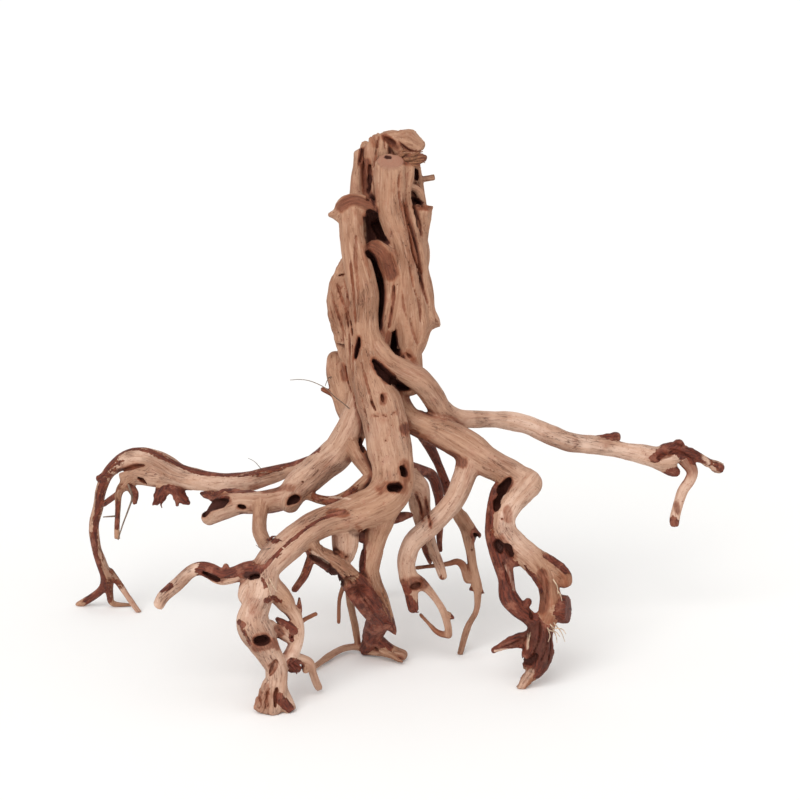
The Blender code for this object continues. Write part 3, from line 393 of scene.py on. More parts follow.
def softNoise(x, y, z):  # smooth noise from -1 to 1 with one lump to each unit
    low = [np.floor(value).astype(np.int32) for value in (x, y, z)]
    part = [value - base for value, base in zip((x, y, z), low)]
    part = [share * share * (3 - 2 * share) for share in part]
    near = [base % noiseSize for base in low]
    far = [(base + 1) % noiseSize for base in low]
    total = 0.0
    for cornerX in (0, 1):
        weightX = part[0] if cornerX else 1 - part[0]
        indexX = far[0] if cornerX else near[0]
        for cornerY in (0, 1):
            weightY = weightX * (part[1] if cornerY else 1 - part[1])
            indexY = far[1] if cornerY else near[1]
            total = total + weightY * (1 - part[2]) * lumpGrid[indexX, indexY, near[2]]
            total = total + weightY * part[2] * lumpGrid[indexX, indexY, far[2]]
    return total


def unit(rows):
    return rows / np.maximum(np.linalg.norm(rows, axis=-1, keepdims=True), 1e-9)


def curveThrough(controls, step):  # rows on a smooth curve through the controls, about a step apart
    controls = np.asarray(controls, float)
    padded = np.vstack([2 * controls[0] - controls[1], controls, 2 * controls[-1] - controls[-2]])
    rows = []
    for first in range(len(controls) - 1):
        before, start, end, after = padded[first:first + 4]
        count = max(2, int(math.ceil(np.linalg.norm((end - start)[:3]) / step)))
        for part in np.arange(count) / count:
            bend = 2 * before - 5 * start + 4 * end - after
            turn = 3 * start - before - 3 * end + after
            rows.append(start + 0.5 * part * (end - before + part * (bend + part * turn)))
    rows.append(controls[-1])
    return np.array(rows)


def frameAlong(points):  # tangents, and two directions across them that turn as little as they can
    tangents = unit(np.gradient(points, axis=0))
    sides = np.zeros_like(points)
    side = -awayWay - tangents[0] * np.dot(-awayWay, tangents[0])
    if np.linalg.norm(side) < 0.2:
        side = upWay - tangents[0] * np.dot(upWay, tangents[0])
    for index, tangent in enumerate(tangents):
        side = side - tangent * np.dot(side, tangent)
        side = side / np.linalg.norm(side)
        sides[index] = side
    return tangents, sides, np.cross(tangents, sides)


def makeBranch(name, controls, number):
    placed = [np.append(place(across, up, behind), radius) for across, up, behind, radius in controls]
    rows = curveThrough(placed, wood["step"])
    points = rows[:, :3]
    radii = np.maximum(rows[:, 3], 0.5)
    along = np.append(0, np.cumsum(np.linalg.norm(np.diff(points, axis=0), axis=1)))
    random = np.random.default_rng(wood["branchSeed"] + number)
    flat = along * 0
    inside = np.minimum(1, np.minimum(along, along[-1] - along) / wood["steadyEnd"])[:, None]
    stray = np.stack([softNoise(along / wood["wanderLength"] + offset, flat + 0.5, flat + number + 0.5)
                      for offset in random.uniform(0, 40, 3)], axis=1)
    points = points + stray * inside * wood["wander"] * np.minimum(1.5, radii / 4)[:, None]
    swell = softNoise(along / wood["swellLength"] + random.uniform(0, 40), flat + 0.5, flat + 0.5)
    radii = radii * (1 + wood["swell"] * swell)
    tangents, sides, normals = frameAlong(points)
    shape = shapes.get(name, {})
    widest = radii.max()
    return {
        "name": name, "number": number, "points": points, "radii": radii, "along": along,
        "tangents": tangents, "sides": sides, "normals": normals,
        "blend": shape.get("blend", float(np.clip(wood["blendShare"] * widest, *wood["blendRange"]))),
        "flute": shape.get("flute", float(np.clip(wood["fluteShare"] * widest, *wood["fluteRange"]))),
        "cutAt": -1 if name in cutAtEnd else 0,
        "oval": random.uniform(0.02, 0.07), "twist": random.uniform(-0.02, 0.02),
        "phase": random.uniform(0, 2 * math.pi), "shape": shape,
    }


lines = {**trunkLines, **leftLines, **middleLines, **rightLines}
branches = [makeBranch(name, controls, number) for number, (name, controls) in enumerate(lines.items())]
print("branches laid out:", len(branches))

boxLow = np.array(cadBox[0]) * 1000
boxHigh = np.array(cadBox[1]) * 1000
grid = {"low": (boxLow - wood["margin"]).astype(np.float32)}
grid["shape"] = np.ceil((boxHigh + wood["margin"] - grid["low"]) / cell).astype(int) + 1
field = np.full(grid["shape"], wood["farOutside"], np.float32)  # distance to the surface, negative inside


def window(low, high):
    first = np.clip(np.floor((low - grid["low"]) / cell).astype(int), 0, grid["shape"] - 1)
    last = np.clip(np.ceil((high - grid["low"]) / cell).astype(int) + 1, 1, grid["shape"])
    return tuple(slice(int(start), int(end)) for start, end in zip(first, last))


def axesOf(span):
    axes = [grid["low"][axis] + cell * np.arange(span[axis].start, span[axis].stop, dtype=np.float32)
            for axis in range(3)]
    return axes[0][:, None, None], axes[1][None, :, None], axes[2][None, None, :]


def chunkDistance(branch, first, last, span):  # distance to a few segments of a branch, with its ridges
    x, y, z = axesOf(span)
    points, radii = branch["points"], branch["radii"]
    best = np.full(np.broadcast_shapes(x.shape, y.shape, z.shape), 99.0, np.float32)
    bestIndex = np.zeros(best.shape, np.int32)
    bestShare = np.zeros(best.shape, np.float32)
    for index in range(first, last):
        start = points[index].astype(np.float32)
        run = (points[index + 1] - points[index]).astype(np.float32)
        offX, offY, offZ = x - start[0], y - start[1], z - start[2]
        size = max(float(run @ run), 1e-6)
        share = offX * (run[0] / size) + offY * (run[1] / size) + offZ * (run[2] / size)
        np.clip(share, 0, 1, out=share)
        gap = (offX - share * run[0]) ** 2
        gap += (offY - share * run[1]) ** 2
        gap += (offZ - share * run[2]) ** 2
        np.sqrt(gap, out=gap)
        gap -= np.float32(radii[index]) + share * np.float32(radii[index + 1] - radii[index])
        closer = gap < best
        np.copyto(best, gap, where=closer)
        np.copyto(bestShare, share, where=closer)
        bestIndex[closer] = index
    near = np.nonzero(best < wood["reach"])
    index, share = bestIndex[near], bestShare[near]

    def between(rows):
        rows = rows.astype(np.float32)
        if rows.ndim == 1:
            return rows[index] * (1 - share) + rows[index + 1] * share
        return rows[index] * (1 - share)[:, None] + rows[index + 1] * share[:, None]

    position = np.stack([x[near[0], 0, 0], y[0, near[1], 0], z[0, 0, near[2]]], axis=1)
    offset = position - between(points)
    alongSide = np.einsum("ij,ij->i", offset, between(branch["sides"]))
    alongNormal = np.einsum("ij,ij->i", offset, between(branch["normals"]))
    away = np.maximum(np.hypot(alongSide, alongNormal), 0.3)
    radius = between(radii)
    run = between(branch["along"])
    cosine, sine = alongSide / away, alongNormal / away
    turn = branch["phase"] + branch["twist"] * run
    angle = np.arctan2(sine, cosine) + turn
    ridgeX, ridgeY = np.cos(angle) * radius, np.sin(angle) * radius
    number = branch["number"]
    fold = softNoise(ridgeX / ridges["wide"], ridgeY / ridges["wide"],
                     run / ridges["long"] + number * ridges["apart"])
    ridge = 0.3 * fold + 0.95 * np.abs(fold) - 0.3  # round strands with sharp valleys between them
    fine = softNoise(ridgeX / ridges["fineWide"] + 9, ridgeY / ridges["fineWide"],
                     run / ridges["fineLong"] + number * ridges["fineApart"])
    ridge += ridges["fineShare"] * fine
    ridge *= branch["flute"] * ridges["strength"]
    ridge += branch["oval"] * radius * np.cos(2 * angle)
    if "gnarl" in branch["shape"]:
        knot = softNoise(ridgeX / ridges["knotWide"] + run / 5, ridgeY / ridges["knotWide"] + 3,
                         run / ridges["knotLong"] - ridgeX / 6)
        ridge += branch["shape"]["gnarl"] * (0.8 - 2 * np.abs(knot))
    values = np.full(best.shape, wood["farOutside"], np.float32)
    fade = np.clip(away / np.maximum(radius, 0.5), 0, 1)
    values[near] = best[near] - ridge * fade
    return values


def softMin(one, other, blend):
    mix = np.clip(0.5 + 0.5 * (other - one) / blend, 0, 1)
    return other + (one - other) * mix - blend * mix * (1 - mix)


def cutEnd(branch, values, span):  # saws or breaks the branch off at one end
    shape = branch["shape"]
    if "sawn" not in shape and "broken" not in shape:
        return values
    x, y, z = axesOf(span)
    end = branch["cutAt"]
    outward = branch["tangents"][end] * (1 if end else -1)
    if "sawn" in shape:
        outward = unit(np.array(shape["sawn"]))
    base = branch["points"][end]
    plane = (x - base[0]) * outward[0] + (y - base[1]) * outward[1] + (z - base[2]) * outward[2]
    plane = plane.astype(np.float32)
    if "broken" in shape:
        spread = np.zeros_like(plane)
        lean = z / wood["tearLean"]
        plane += shape["broken"] * softNoise((x / wood["tearWide"] + lean) + spread,
                                             (y / wood["tearWide"] + lean) + spread,
                                             z / wood["tearLong"] + spread)
    return np.where(np.abs(plane) < wood["cutReach"], np.maximum(values, plane), values)


def addBranch(branch):
    points, radii = branch["points"], branch["radii"]
    reach = wood["reach"] + 1.0
    whole = window((points - radii[:, None]).min(0) - reach, (points + radii[:, None]).max(0) + reach)
    values = np.full([part.stop - part.start for part in whole], wood["farOutside"], np.float32)
    for first in range(0, len(points) - 1, wood["segmentsAtOnce"]):
        last = min(first + wood["segmentsAtOnce"], len(points) - 1)
        part = slice(first, last + 1)
        low = (points[part] - radii[part, None]).min(0) - reach
        high = (points[part] + radii[part, None]).max(0) + reach
        span = window(low, high)
        if min(side.stop - side.start for side in span) < 1:
            continue
        inner = tuple(slice(side.start - outer.start, side.stop - outer.start)
                      for side, outer in zip(span, whole))
        values[inner] = np.minimum(values[inner], chunkDistance(branch, first, last, span))
    values = cutEnd(branch, values, whole)
    field[whole] = softMin(values, field[whole], branch["blend"])


for branch in branches:
    addBranch(branch)
print("wood formed from its branches")


def sampleField(points):
    spot = (np.asarray(points, np.float32) - grid["low"]) / cell
    spot = np.clip(spot, 0, grid["shape"] - 1.001)
    base = np.floor(spot).astype(np.int32)
    part = spot - base
    total = np.zeros(len(spot), np.float32)
    for cornerX in (0, 1):
        for cornerY in (0, 1):
            for cornerZ in (0, 1):
                weight = (part[:, 0] if cornerX else 1 - part[:, 0])
                weight = weight * (part[:, 1] if cornerY else 1 - part[:, 1])
                weight = weight * (part[:, 2] if cornerZ else 1 - part[:, 2])
                total += weight * field[base[:, 0] + cornerX, base[:, 1] + cornerY, base[:, 2] + cornerZ]
    return total


def slopeAt(points, reach=0.8):  # the outward direction of the wood's surface
    points = np.asarray(points, float)
    rows = []
    for axis in range(3):
        step = np.zeros(3)
        step[axis] = reach
        rows.append(sampleField(points + step) - sampleField(points - step))
    return unit(np.stack(rows, axis=1))


def firstHit(pixelX, pixelY, behind=False):  # where the photo's pixel meets the wood's front, or its back
    way = sightLine(pixelX, pixelY)
    gaps = np.arange(view["distance"] + view["nearest"], view["distance"] + view["farthest"],
                     view["sightStep"])
    gaps = gaps[::-1] if behind else gaps
    values = sampleField(eye + way * gaps[:, None])
    inside = np.nonzero(values < 0)[0]
    if not len(inside):
        return None
    index = max(inside[0], 1)
    before, after = values[index - 1], values[index]
    share = before / (before - after) if before > after else 0
    return eye + way * (gaps[index - 1] + (gaps[index] - gaps[index - 1]) * share)


lumpBand = np.nonzero(np.abs(field) < wood["lumpBand"])
places = [grid["low"][axis] + cell * lumpBand[axis].astype(np.float32) for axis in range(3)]
lump = 0.65 * softNoise(places[0] / 7, places[1] / 7, places[2] / 9)
lump += 0.35 * softNoise(places[0] / 3.2 + 5, places[1] / 3.2, places[2] / 3.8)
field[lumpBand] += wood["lumps"] * lump
del lumpBand, places, lump
print("lumps added")

# flat chips off the wood: pixel of the photo, the way the flat faces (right, up, towards the viewer),
# how deep it cuts and how far it reaches in millimetres
facets = {
    "headRight": ((418, 137), (0.7, 0.6, 0.35), 1, 7), "headFace": ((411, 143), (0.25, 0.1, 1), 1.4, 7),
    "headLeft": ((399, 138), (-0.35, 0.3, 1), 1, 5), "hoodFace": ((349, 205), (-0.3, 0.25, 1), 0.6, 6),
    "capFace": ((379, 252), (-0.35, 0.1, 1), 1, 7), "capSide": ((388, 262), (0.5, -0.1, 1), 0.7, 6),
    "stubFace": ((424, 222), (0.2, -0.3, 1), 0.6, 5), "stubCorner": ((432, 215), (0.9, 0.1, 0.5), 0.7, 5),
    "crownSlope": ((361, 146), (-0.5, 0.85, 0.2), 0.8, 6),
    "bulgeRight": ((430, 330), (0.7, -0.6, 0.4), 1.2, 7), "footFront": ((545, 655), (0.3, -0.1, 1), 1.2, 7),
    "footSide": ((552, 640), (0.9, 0.1, 0.4), 1, 8), "footLeft": ((527, 645), (-0.7, 0.1, 0.7), 0.9, 6),
    "kneeFront": ((520, 592), (-0.3, -0.2, 1), 0.8, 7), "darkRootTop": ((362, 600), (-0.4, 0.3, 1), 0.7, 8),
    "leftFootFace": ((263, 702), (-0.5, 0.1, 1), 0.7, 6),
    "lowKnobFace": ((338, 362), (-0.3, 0.3, 1), 0.6, 6),
}

# dark holes, slits and hollows in the wood that the photo shows, by area: pixels of the photo along
# each, its half width in pixels, its depth in millimetres and the height of its rim, if it is swollen
carvings = {
    "crown": [
        ([(384, 137), (391, 142), (398, 148)], 2.2, 1.6, 0.3),
        ([(363.2, 147), (361.4, 156), (359.6, 163)], 1.5, 2.2),
        ([(379, 136), (376.5, 150), (376, 160)], 1.1, 1.6), ([(384, 139), (385.5, 150)], 0.9, 1.2),
        ([(369.5, 166), (369, 184), (367, 200)], 3, 3),
        ([(398, 141), (404, 147), (410, 151), (418, 152)], 1.2, 1.2),
        ([(386, 157), (389.5, 157.8)], 1.2, 2), ([(415, 171), (416.5, 178)], 2.6, 3.5),
        ([(412, 200), (418, 203)], 3.2, 5),
    ],
    "neck": [
        ([(400, 172), (398.5, 186), (400, 200), (403, 214), (406, 230)], 1.2, 1.3),
        ([(393, 176), (394, 196), (398, 214)], 1, 0.7), ([(390, 228), (394, 246), (398, 262)], 1, 0.7),
        ([(414, 212), (419, 222), (421, 238)], 0.9, 1.2),
        ([(403.5, 200), (405.5, 214), (408.5, 228), (410.5, 240), (413, 254), (418, 267),
            (421.5, 274)], 1.4, 2.4),
    ],
    "trunk": [
        ([(370, 213), (375, 222), (381, 232), (385, 238)], 7.5, 6),
        ([(367, 252), (373, 264), (379, 279), (382, 292), (381.4, 304), (379.8, 316), (379, 326)], 3.7, 9),
        ([(393.7, 286), (393.4, 301)], 0.7, 1.6), ([(391.8, 305), (391, 315)], 0.6, 1.5),
        ([(389.6, 319), (388.6, 328)], 0.6, 1.5), ([(392.4, 336), (393.2, 346), (394.6, 355)], 6.4, 9, 0.3),
        ([(358.6, 338), (358, 346), (355, 358)], 2.4, 6),
    ],
    "mainRoot": [
        ([(352, 345), (352.5, 366), (353, 388), (356, 408)], 1.3, 1.5),
        ([(361, 362), (367, 384), (374, 408)], 1.2, 1.2), ([(361, 396), (366, 416), (369, 436)], 1.1, 1),
        ([(396, 402), (400, 420), (403, 440)], 1.1, 1), ([(346, 366), (348, 380), (351, 392)], 1.1, 2.2),
    ],
    "leftStem": [
        ([(356, 236), (355.5, 262), (357.5, 282), (358.5, 304)], 1.8, 1.1),
        ([(350, 258), (352.5, 284), (354, 304), (356, 330)], 1.3, 1.5),
    ],
    "leftBurl": [
        ([(336, 282), (341, 296), (346, 312), (349, 328)], 1.3, 1.4),
        ([(331, 290), (335, 306), (341, 322), (347, 340)], 1.2, 1.2),
        ([(343, 276), (347, 294), (350.5, 308)], 1.2, 1.2), ([(329, 304), (334, 322), (342, 342)], 1.1, 1),
        ([(340, 288), (343, 286)], 0.9, 1), ([(337, 300), (340, 297)], 0.8, 1),
    ],
    "rightBurl": [
        ([(409, 262), (413, 284), (419, 304), (421, 322)], 1.2, 1.3),
        ([(417, 268), (423, 290), (430, 310)], 1.1, 1.2), ([(402, 290), (404, 308), (408, 322)], 1, 1),
        ([(432, 304), (435, 316), (437, 326)], 0.9, 0.9), ([(410, 318), (413, 332), (418, 346)], 1.2, 1.1),
        ([(407, 354), (410, 357)], 1.6, 1.5, 0.4), ([(348, 312), (351, 325), (352, 336)], 1.1, 3),
        ([(345, 274), (339, 275.5)], 0.8, 2.5),
    ],
    "mainRootMiddle": [
        ([(382, 395), (383, 401)], 1.7, 2.2, 0.3), ([(371, 401), (375.5, 410)], 1.2, 2),
        ([(372, 415), (378, 416.5)], 0.7, 1.2), ([(382, 414.5), (387, 417)], 0.7, 1.4),
        ([(391, 414.5), (396, 411.5)], 0.6, 1.2), ([(361, 440), (363.5, 450)], 3.2, 4),
        ([(391, 425)], 1.1, 1.6), ([(388.5, 430)], 0.9, 1.4), ([(386, 440.5)], 1.4, 1.8),
        ([(374, 361), (382, 371), (392, 381), (401, 386), (407, 388)], 5.2, 9),
    ],
    "mainRootBend": [
        ([(403, 470), (404.5, 472.5)], 4.5, 8, 0.5), ([(391.5, 487), (398.5, 487)], 4.6, 9, 0.5),
    ],
    "shoulder": [
        ([(303, 482)], 1.5, 1.6), ([(289, 503.5), (292, 501), (298, 498.5)], 4.6, 4.5, 0.5),
        ([(239.5, 506.5), (244.5, 507.5)], 2.3, 4, 0.3),
        ([(204, 514), (208, 507), (214, 503.5), (226, 501)], 6.4, 5, 0.4),
    ],
    "leftArm": [
        ([(118, 472), (128, 468.5), (138, 466), (144, 465.5)], 2.4, 2.6, 0.2),
        ([(138, 478), (143, 481), (146, 484)], 2, 3),
    ],
    "lowLeftRoot": [
        ([(203, 573), (211, 577), (219, 580)], 3.4, 4.5, 0.2), ([(251, 577), (257, 576)], 2.6, 4),
    ],
    "leftLeg": [
        ([(269, 615)], 1.5, 2.5), ([(259.5, 640.8), (263.8, 640.2)], 6, 6, 0.8),
        ([(271, 673), (275, 663)], 3.8, 1.4, 0.8), ([(268, 680), (262, 688), (259, 698)], 0.8, 1.2),
        ([(270, 688), (266, 698), (265, 709)], 0.8, 1.4), ([(257, 694), (261, 702), (259, 709)], 0.9, 1.4),
        ([(277, 688), (275.3, 696), (275, 707)], 2, 2.6), ([(266, 690), (268, 706)], 0.8, 1.6),
        ([(292, 637)], 1.4, 2.5), ([(279, 630)], 1, 2),
    ],
    "underTrunk": [
        ([(337, 551.5)], 2.4, 1.3, 0.4), ([(346, 557)], 1.4, 1.2, 0.3),
        ([(362, 545), (362.5, 557), (362, 568)], 2, 1.6),
    ],
    "rightLeg": [
        ([(496.5, 509), (499, 498), (503, 489), (509, 480)], 5.6, 5, 0.3), ([(502, 519)], 1.5, 2, 0.2),
        ([(498.6, 543.5), (500, 548.5)], 5.4, 4.5, 0.3), ([(507.5, 547), (511, 554)], 4.7, 3.6, 0.3),
        ([(522, 659), (528, 662), (536, 655)], 4.2, 3.4, 0.2), ([(531, 613), (532, 618)], 2.6, 3),
        ([(561, 602), (560, 615)], 5, 1.1, 0.4), ([(540, 622), (539, 640), (533, 654)], 1, 2),
        ([(547, 628), (547, 646), (541, 662)], 0.9, 1.6), ([(530, 630), (524, 642), (524, 652)], 1, 1.8),
        ([(500, 648), (512, 644), (522, 640)], 0.9, 1.4),
    ],
    "forkedRoot": [
        ([(413, 587), (418, 585)], 3.9, 3, 0.4),
    ],
    "darkRoot": [
        ([(338, 566), (352, 584), (366, 602), (378, 620)], 0.9, 1.4),
        ([(348, 572), (362, 590), (376, 608)], 0.7, 1.1),
        ([(331, 570), (336, 577), (341, 583)], 4.6, 3.4, 0.2),
        ([(310, 556), (320, 561), (330, 567)], 3.4, 3),
    ],
    "hiddenRoots": [
        ([(446, 483)], 1.6, 2), ([(475, 535), (479, 542)], 2.6, 4, 0.2), ([(472, 550)], 1.4, 2),
        ([(416, 494), (420, 505), (423, 520)], 0.9, 2.4), ([(425, 498), (428, 512), (431, 528)], 0.8, 2.2),
        ([(360, 530)], 2, 1.4, 0.5),
    ],
    "rightArm": [
        ([(531, 424)], 0.9, 1.2), ([(571, 442)], 0.9, 1.2), ([(628, 449)], 1, 1.4),
    ],
    "rightStub": [
        ([(414, 207.5), (430, 208)], 2.2, 1.2),
    ],
    "armEnd": [
        ([(658, 458), (665, 455), (674, 452)], 3.2, 2.4, 0.2),
        ([(668, 448), (682, 453), (696, 460)], 1.4, 1.8), ([(676, 443), (688, 449), (700, 456)], 1.1, 1.4),
    ],
    "rightLegFolds": [
        ([(491, 500), (489, 520), (491, 540)], 1, 1.6), ([(503, 562), (508, 580), (515, 596)], 1.1, 1.8),
        ([(541, 566), (547, 584), (546, 604)], 1.1, 1.3), ([(533, 560), (541, 574), (541, 590)], 0.9, 1),
        ([(550, 632), (551, 648), (548, 664)], 1.2, 2), ([(533, 668), (529, 676), (522, 684)], 1.1, 1.8),
    ],
}

# the same on the side away from the photo's viewer, where they are invented to match the front
backCarvings = {
    "trunk": [
        ([(380, 186), (385, 214), (389, 244), (388, 274), (383, 300)], 3.2, 5),
        ([(398, 150), (401, 176), (399, 204)], 2, 3), ([(404, 286), (406, 300)], 5, 8, 0.5),
        ([(360, 366), (362, 375)], 4.4, 7, 0.6), ([(389, 402), (390, 407)], 3.2, 5, 0.5),
        ([(352, 300)], 3.4, 2, 0.7), ([(356, 196), (353, 240), (356, 286), (352, 330)], 1.5, 1.9),
        ([(390, 206), (392, 250), (396, 284), (393, 330), (396, 366)], 1.5, 2),
        ([(411, 214), (416, 262), (418, 310), (409, 352)], 1.4, 1.8),
        ([(366, 318), (371, 356), (372, 402), (378, 446)], 1.3, 1.6),
        ([(343, 290), (346, 326), (352, 362)], 1.4, 1.8),
        ([(381, 338), (384, 376), (381, 420), (384, 470)], 1.3, 1.6),
        ([(364, 158), (362, 190), (365, 230)], 1.2, 1.6), ([(385, 152), (386, 184), (389, 222)], 1.3, 1.6),
        ([(404, 330), (400, 360), (398, 392)], 1.3, 1.6),
    ],
    "backLeg": [
        ([(392, 452), (390, 500), (384, 548), (380, 590)], 1.2, 1.3), ([(386, 528)], 2.2, 2.5, 0.4),
    ],
    "leftSide": [
        ([(346, 440), (326, 466), (300, 488), (266, 500)], 1.4, 1.8), ([(330, 455)], 3.2, 3.5, 0.6),
        ([(276, 478), (240, 485), (205, 484), (170, 468)], 1.2, 1.4), ([(186, 476)], 2, 2.2, 0.4),
        ([(330, 512), (306, 526), (284, 544), (268, 560)], 1.4, 1.5),
        ([(300, 532), (296, 535)], 3, 3.2, 0.6),
    ],
    "leftLeg": [
        ([(262, 600), (254, 622), (262, 650)], 1.2, 1.4), ([(252, 626), (256, 632)], 3.6, 5, 0.6),
    ],
    "rightSide": [
        ([(430, 442), (456, 450), (482, 466), (508, 482)], 1.4, 1.7),
        ([(462, 450), (467, 452)], 3.4, 4, 0.6),
        ([(514, 520), (510, 540), (524, 560), (540, 584)], 1.2, 1.5), ([(548, 596), (549, 604)], 3, 4, 0.4),
        ([(478, 420), (520, 422), (560, 432), (604, 442)], 1.1, 1.3), ([(548, 432)], 1.9, 2.2, 0.4),
        ([(462, 486), (440, 514), (418, 540), (406, 562)], 1.2, 1.3), ([(432, 522)], 2.2, 2.4, 0.4),
    ],
}


carving = {
    "chipRough": 0.3, "chipGrain": 3, "chipBlend": 0.6,
    "blend": 0.5,  # how softly a hollow's edge turns into the surface
    "wobbles": ((0.4, 2.2, 2.4), (0.2, 1.2, 0.9)),  # of its edge: share of its half width, which
    # counts up to the second value, and size
    "front": 4,  # it is open this far in front of the surface
    "rimOut": 0.7, "rimWide": 0.9,
    "narrowing": 0.5, "taperTo": 0.35,  # towards its floor, and towards the ends of a slit
    "evenOver": 9,  # points of the path that its floor is evened over
    "endReach": 0.45, "slopeShare": 0.35,  # how much it follows the slope instead of the line of sight
}


def chipOff(pixel, facing, deep, reach):
    hit = firstHit(*pixel)
    if hit is None:
        print("nothing to chip at", pixel)
        return
    outward = unit(rightWay * facing[0] + upWay * facing[1] - awayWay * facing[2])
    span = window(hit - reach - 4, hit + reach + 4)
    x, y, z = axesOf(span)
    plane = (x - hit[0]) * outward[0] + (y - hit[1]) * outward[1] + (z - hit[2]) * outward[2] + deep
    away = np.sqrt((x - hit[0]) ** 2 + (y - hit[1]) ** 2 + (z - hit[2]) ** 2)
    spread = 0 * away
    size = carving["chipGrain"]
    plane = plane + carving["chipRough"] * softNoise(x / size + spread, y / size + spread,
                                                     z / size + spread)
    plane = plane - 9 * np.clip((away - reach * 0.75) / (reach * 0.5), 0, 1)
    field[span] = -softMin(-field[span], -plane.astype(np.float32), carving["chipBlend"])


def traced(path, behind=False):  # points of the wood's surface along a path of photo pixels
    rows = np.array([(x, y, 0.0) for x, y in path], float)
    rows = curveThrough(rows, view["pathStep"]) if len(rows) > 1 else rows
    hits = [firstHit(x, y, behind) for x, y, _ in rows]
    known = [index for index, hit in enumerate(hits) if hit is not None]
    if not known:
        return None
    hits = [hits[min(known, key=lambda other: abs(other - index))] for index in range(len(rows))]
    return np.array(hits)


def acrossFrom(axis):  # two directions square to an axis
    first = np.cross(axis, upWay if abs(axis @ upWay) < 0.9 else rightWay)
    first = first / np.linalg.norm(first)
    return first, np.cross(axis, first)


def trenchOf(points, axis, half, deep, tapered):  # a hollow as a path, seen along its axis
    first, second = acrossFrom(axis)
    start = points @ axis
    over = carving["evenOver"]
    if len(start) >= over:  # an even floor, where the path crosses from one branch to another
        start = np.convolve(np.pad(start, over // 2, mode="edge"), np.full(over, 1 / over), mode="valid")
    widths = np.full(len(points), float(half))
    if tapered:
        share = np.linspace(0, 1, len(points))
        bulge = np.sqrt(np.clip(np.sin(math.pi * np.clip(share, 0.02, 0.98)), 0, 1))
        widths = widths * (carving["taperTo"] + (1 - carving["taperTo"]) * bulge)
    return {"axis": axis, "first": first, "second": second, "widths": widths, "deep": deep,
            "flat": np.stack([points @ first, points @ second], axis=1), "start": start}


def measureTrench(trench, x, y, z):  # how far outside the path, and how deep, each place is
    shape = np.broadcast_shapes(np.shape(x), np.shape(y), np.shape(z))
    flatX = x * trench["first"][0] + y * trench["first"][1] + z * trench["first"][2]
    flatY = x * trench["second"][0] + y * trench["second"][1] + z * trench["second"][2]
    depth = x * trench["axis"][0] + y * trench["axis"][1] + z * trench["axis"][2]
    flat, widths, start = trench["flat"], trench["widths"], trench["start"]
    best = np.full(shape, 99.0, np.float32)
    sunk = np.full(shape, -99.0, np.float32)
    width = np.full(shape, widths[0], np.float32)
    for index in range(max(1, len(flat) - 1)):
        after = min(index + 1, len(flat) - 1)
        run = flat[after] - flat[index]
        size = float(run @ run)
        share = 0.0
        if size > 1e-9:
            share = ((flatX - flat[index][0]) * run[0] + (flatY - flat[index][1]) * run[1]) / size
            share = np.clip(share, 0, 1)
        gap = np.hypot(flatX - flat[index][0] - share * run[0], flatY - flat[index][1] - share * run[1])
        half = widths[index] + share * (widths[after] - widths[index])
        gap = gap - half
        closer = gap < best
        best = np.where(closer, gap, best)
        sunk = np.where(closer, depth - start[index] - share * (start[after] - start[index]), sunk)
        width = np.where(closer, half, width)
    return best, sunk, width


def carve(trench, rim):
    widest = float(trench["widths"].max())
    corners = [trench["flat"].min(0) - widest - 3, trench["flat"].max(0) + widest + 3]
    ends = (trench["start"].min() - carving["front"], trench["start"].max() + trench["deep"] + 3)
    box = np.array([trench["first"] * a + trench["second"] * b + trench["axis"] * c
                    for a in (corners[0][0], corners[1][0]) for b in (corners[0][1], corners[1][1])
                    for c in ends])
    span = window(box.min(0), box.max(0))
    x, y, z = axesOf(span)
    outside, sunk, width = measureTrench(trench, x, y, z)
    spread = 0 * outside
    for amount, upTo, size in carving["wobbles"]:
        wobble = softNoise(x / size + spread, y / size + spread, z / size + spread)
        outside = outside + amount * np.minimum(upTo, width) * wobble
    part = field[span]
    if rim:
        near = np.exp(-((outside - carving["rimOut"]) / carving["rimWide"]) ** 2)
        near = near * (np.abs(sunk) < carving["front"])
        part = part - rim * near
    narrowing = outside + carving["narrowing"] * width * np.clip(sunk / trench["deep"], 0, 1) ** 1.5
    hollow = np.maximum(narrowing, sunk - trench["deep"])
    hollow = np.where(sunk > -carving["front"], hollow, wood["farOutside"])
    field[span] = -softMin(-part, hollow, carving["blend"])


for pixel, facing, deep, reach in facets.values():
    chipOff(pixel, facing, deep, reach)

trenches = []
holes = [(False, *hole) for group in carvings.values() for hole in group]
holes += [(True, *hole) for group in backCarvings.values() for hole in group]
for behind, path, half, deep, *rim in holes:
    if len(path) == 2:  # its tapered ends reach as far as round ones would
        run = unit(np.array(path[1], float) - np.array(path[0], float)) * half * carving["endReach"]
        path = [tuple(np.array(path[0]) - run), tuple(np.array(path[1]) + run)]
    points = traced(path, behind)
    if points is None:
        print("nothing to carve at", path[0])
        continue
    sight = unit((points - eye).mean(0)) * (-1 if behind else 1)
    follow = carving["slopeShare"]
    axis = unit(sight * (1 - follow) - slopeAt(points).mean(0) * follow)
    trench = trenchOf(points, axis, half * view["pixelSize"], deep, len(path) > 1)
    carve(trench, rim[0] if rim else 0)
    trenches.append(trench)
print("holes and slits carved:", len(trenches))


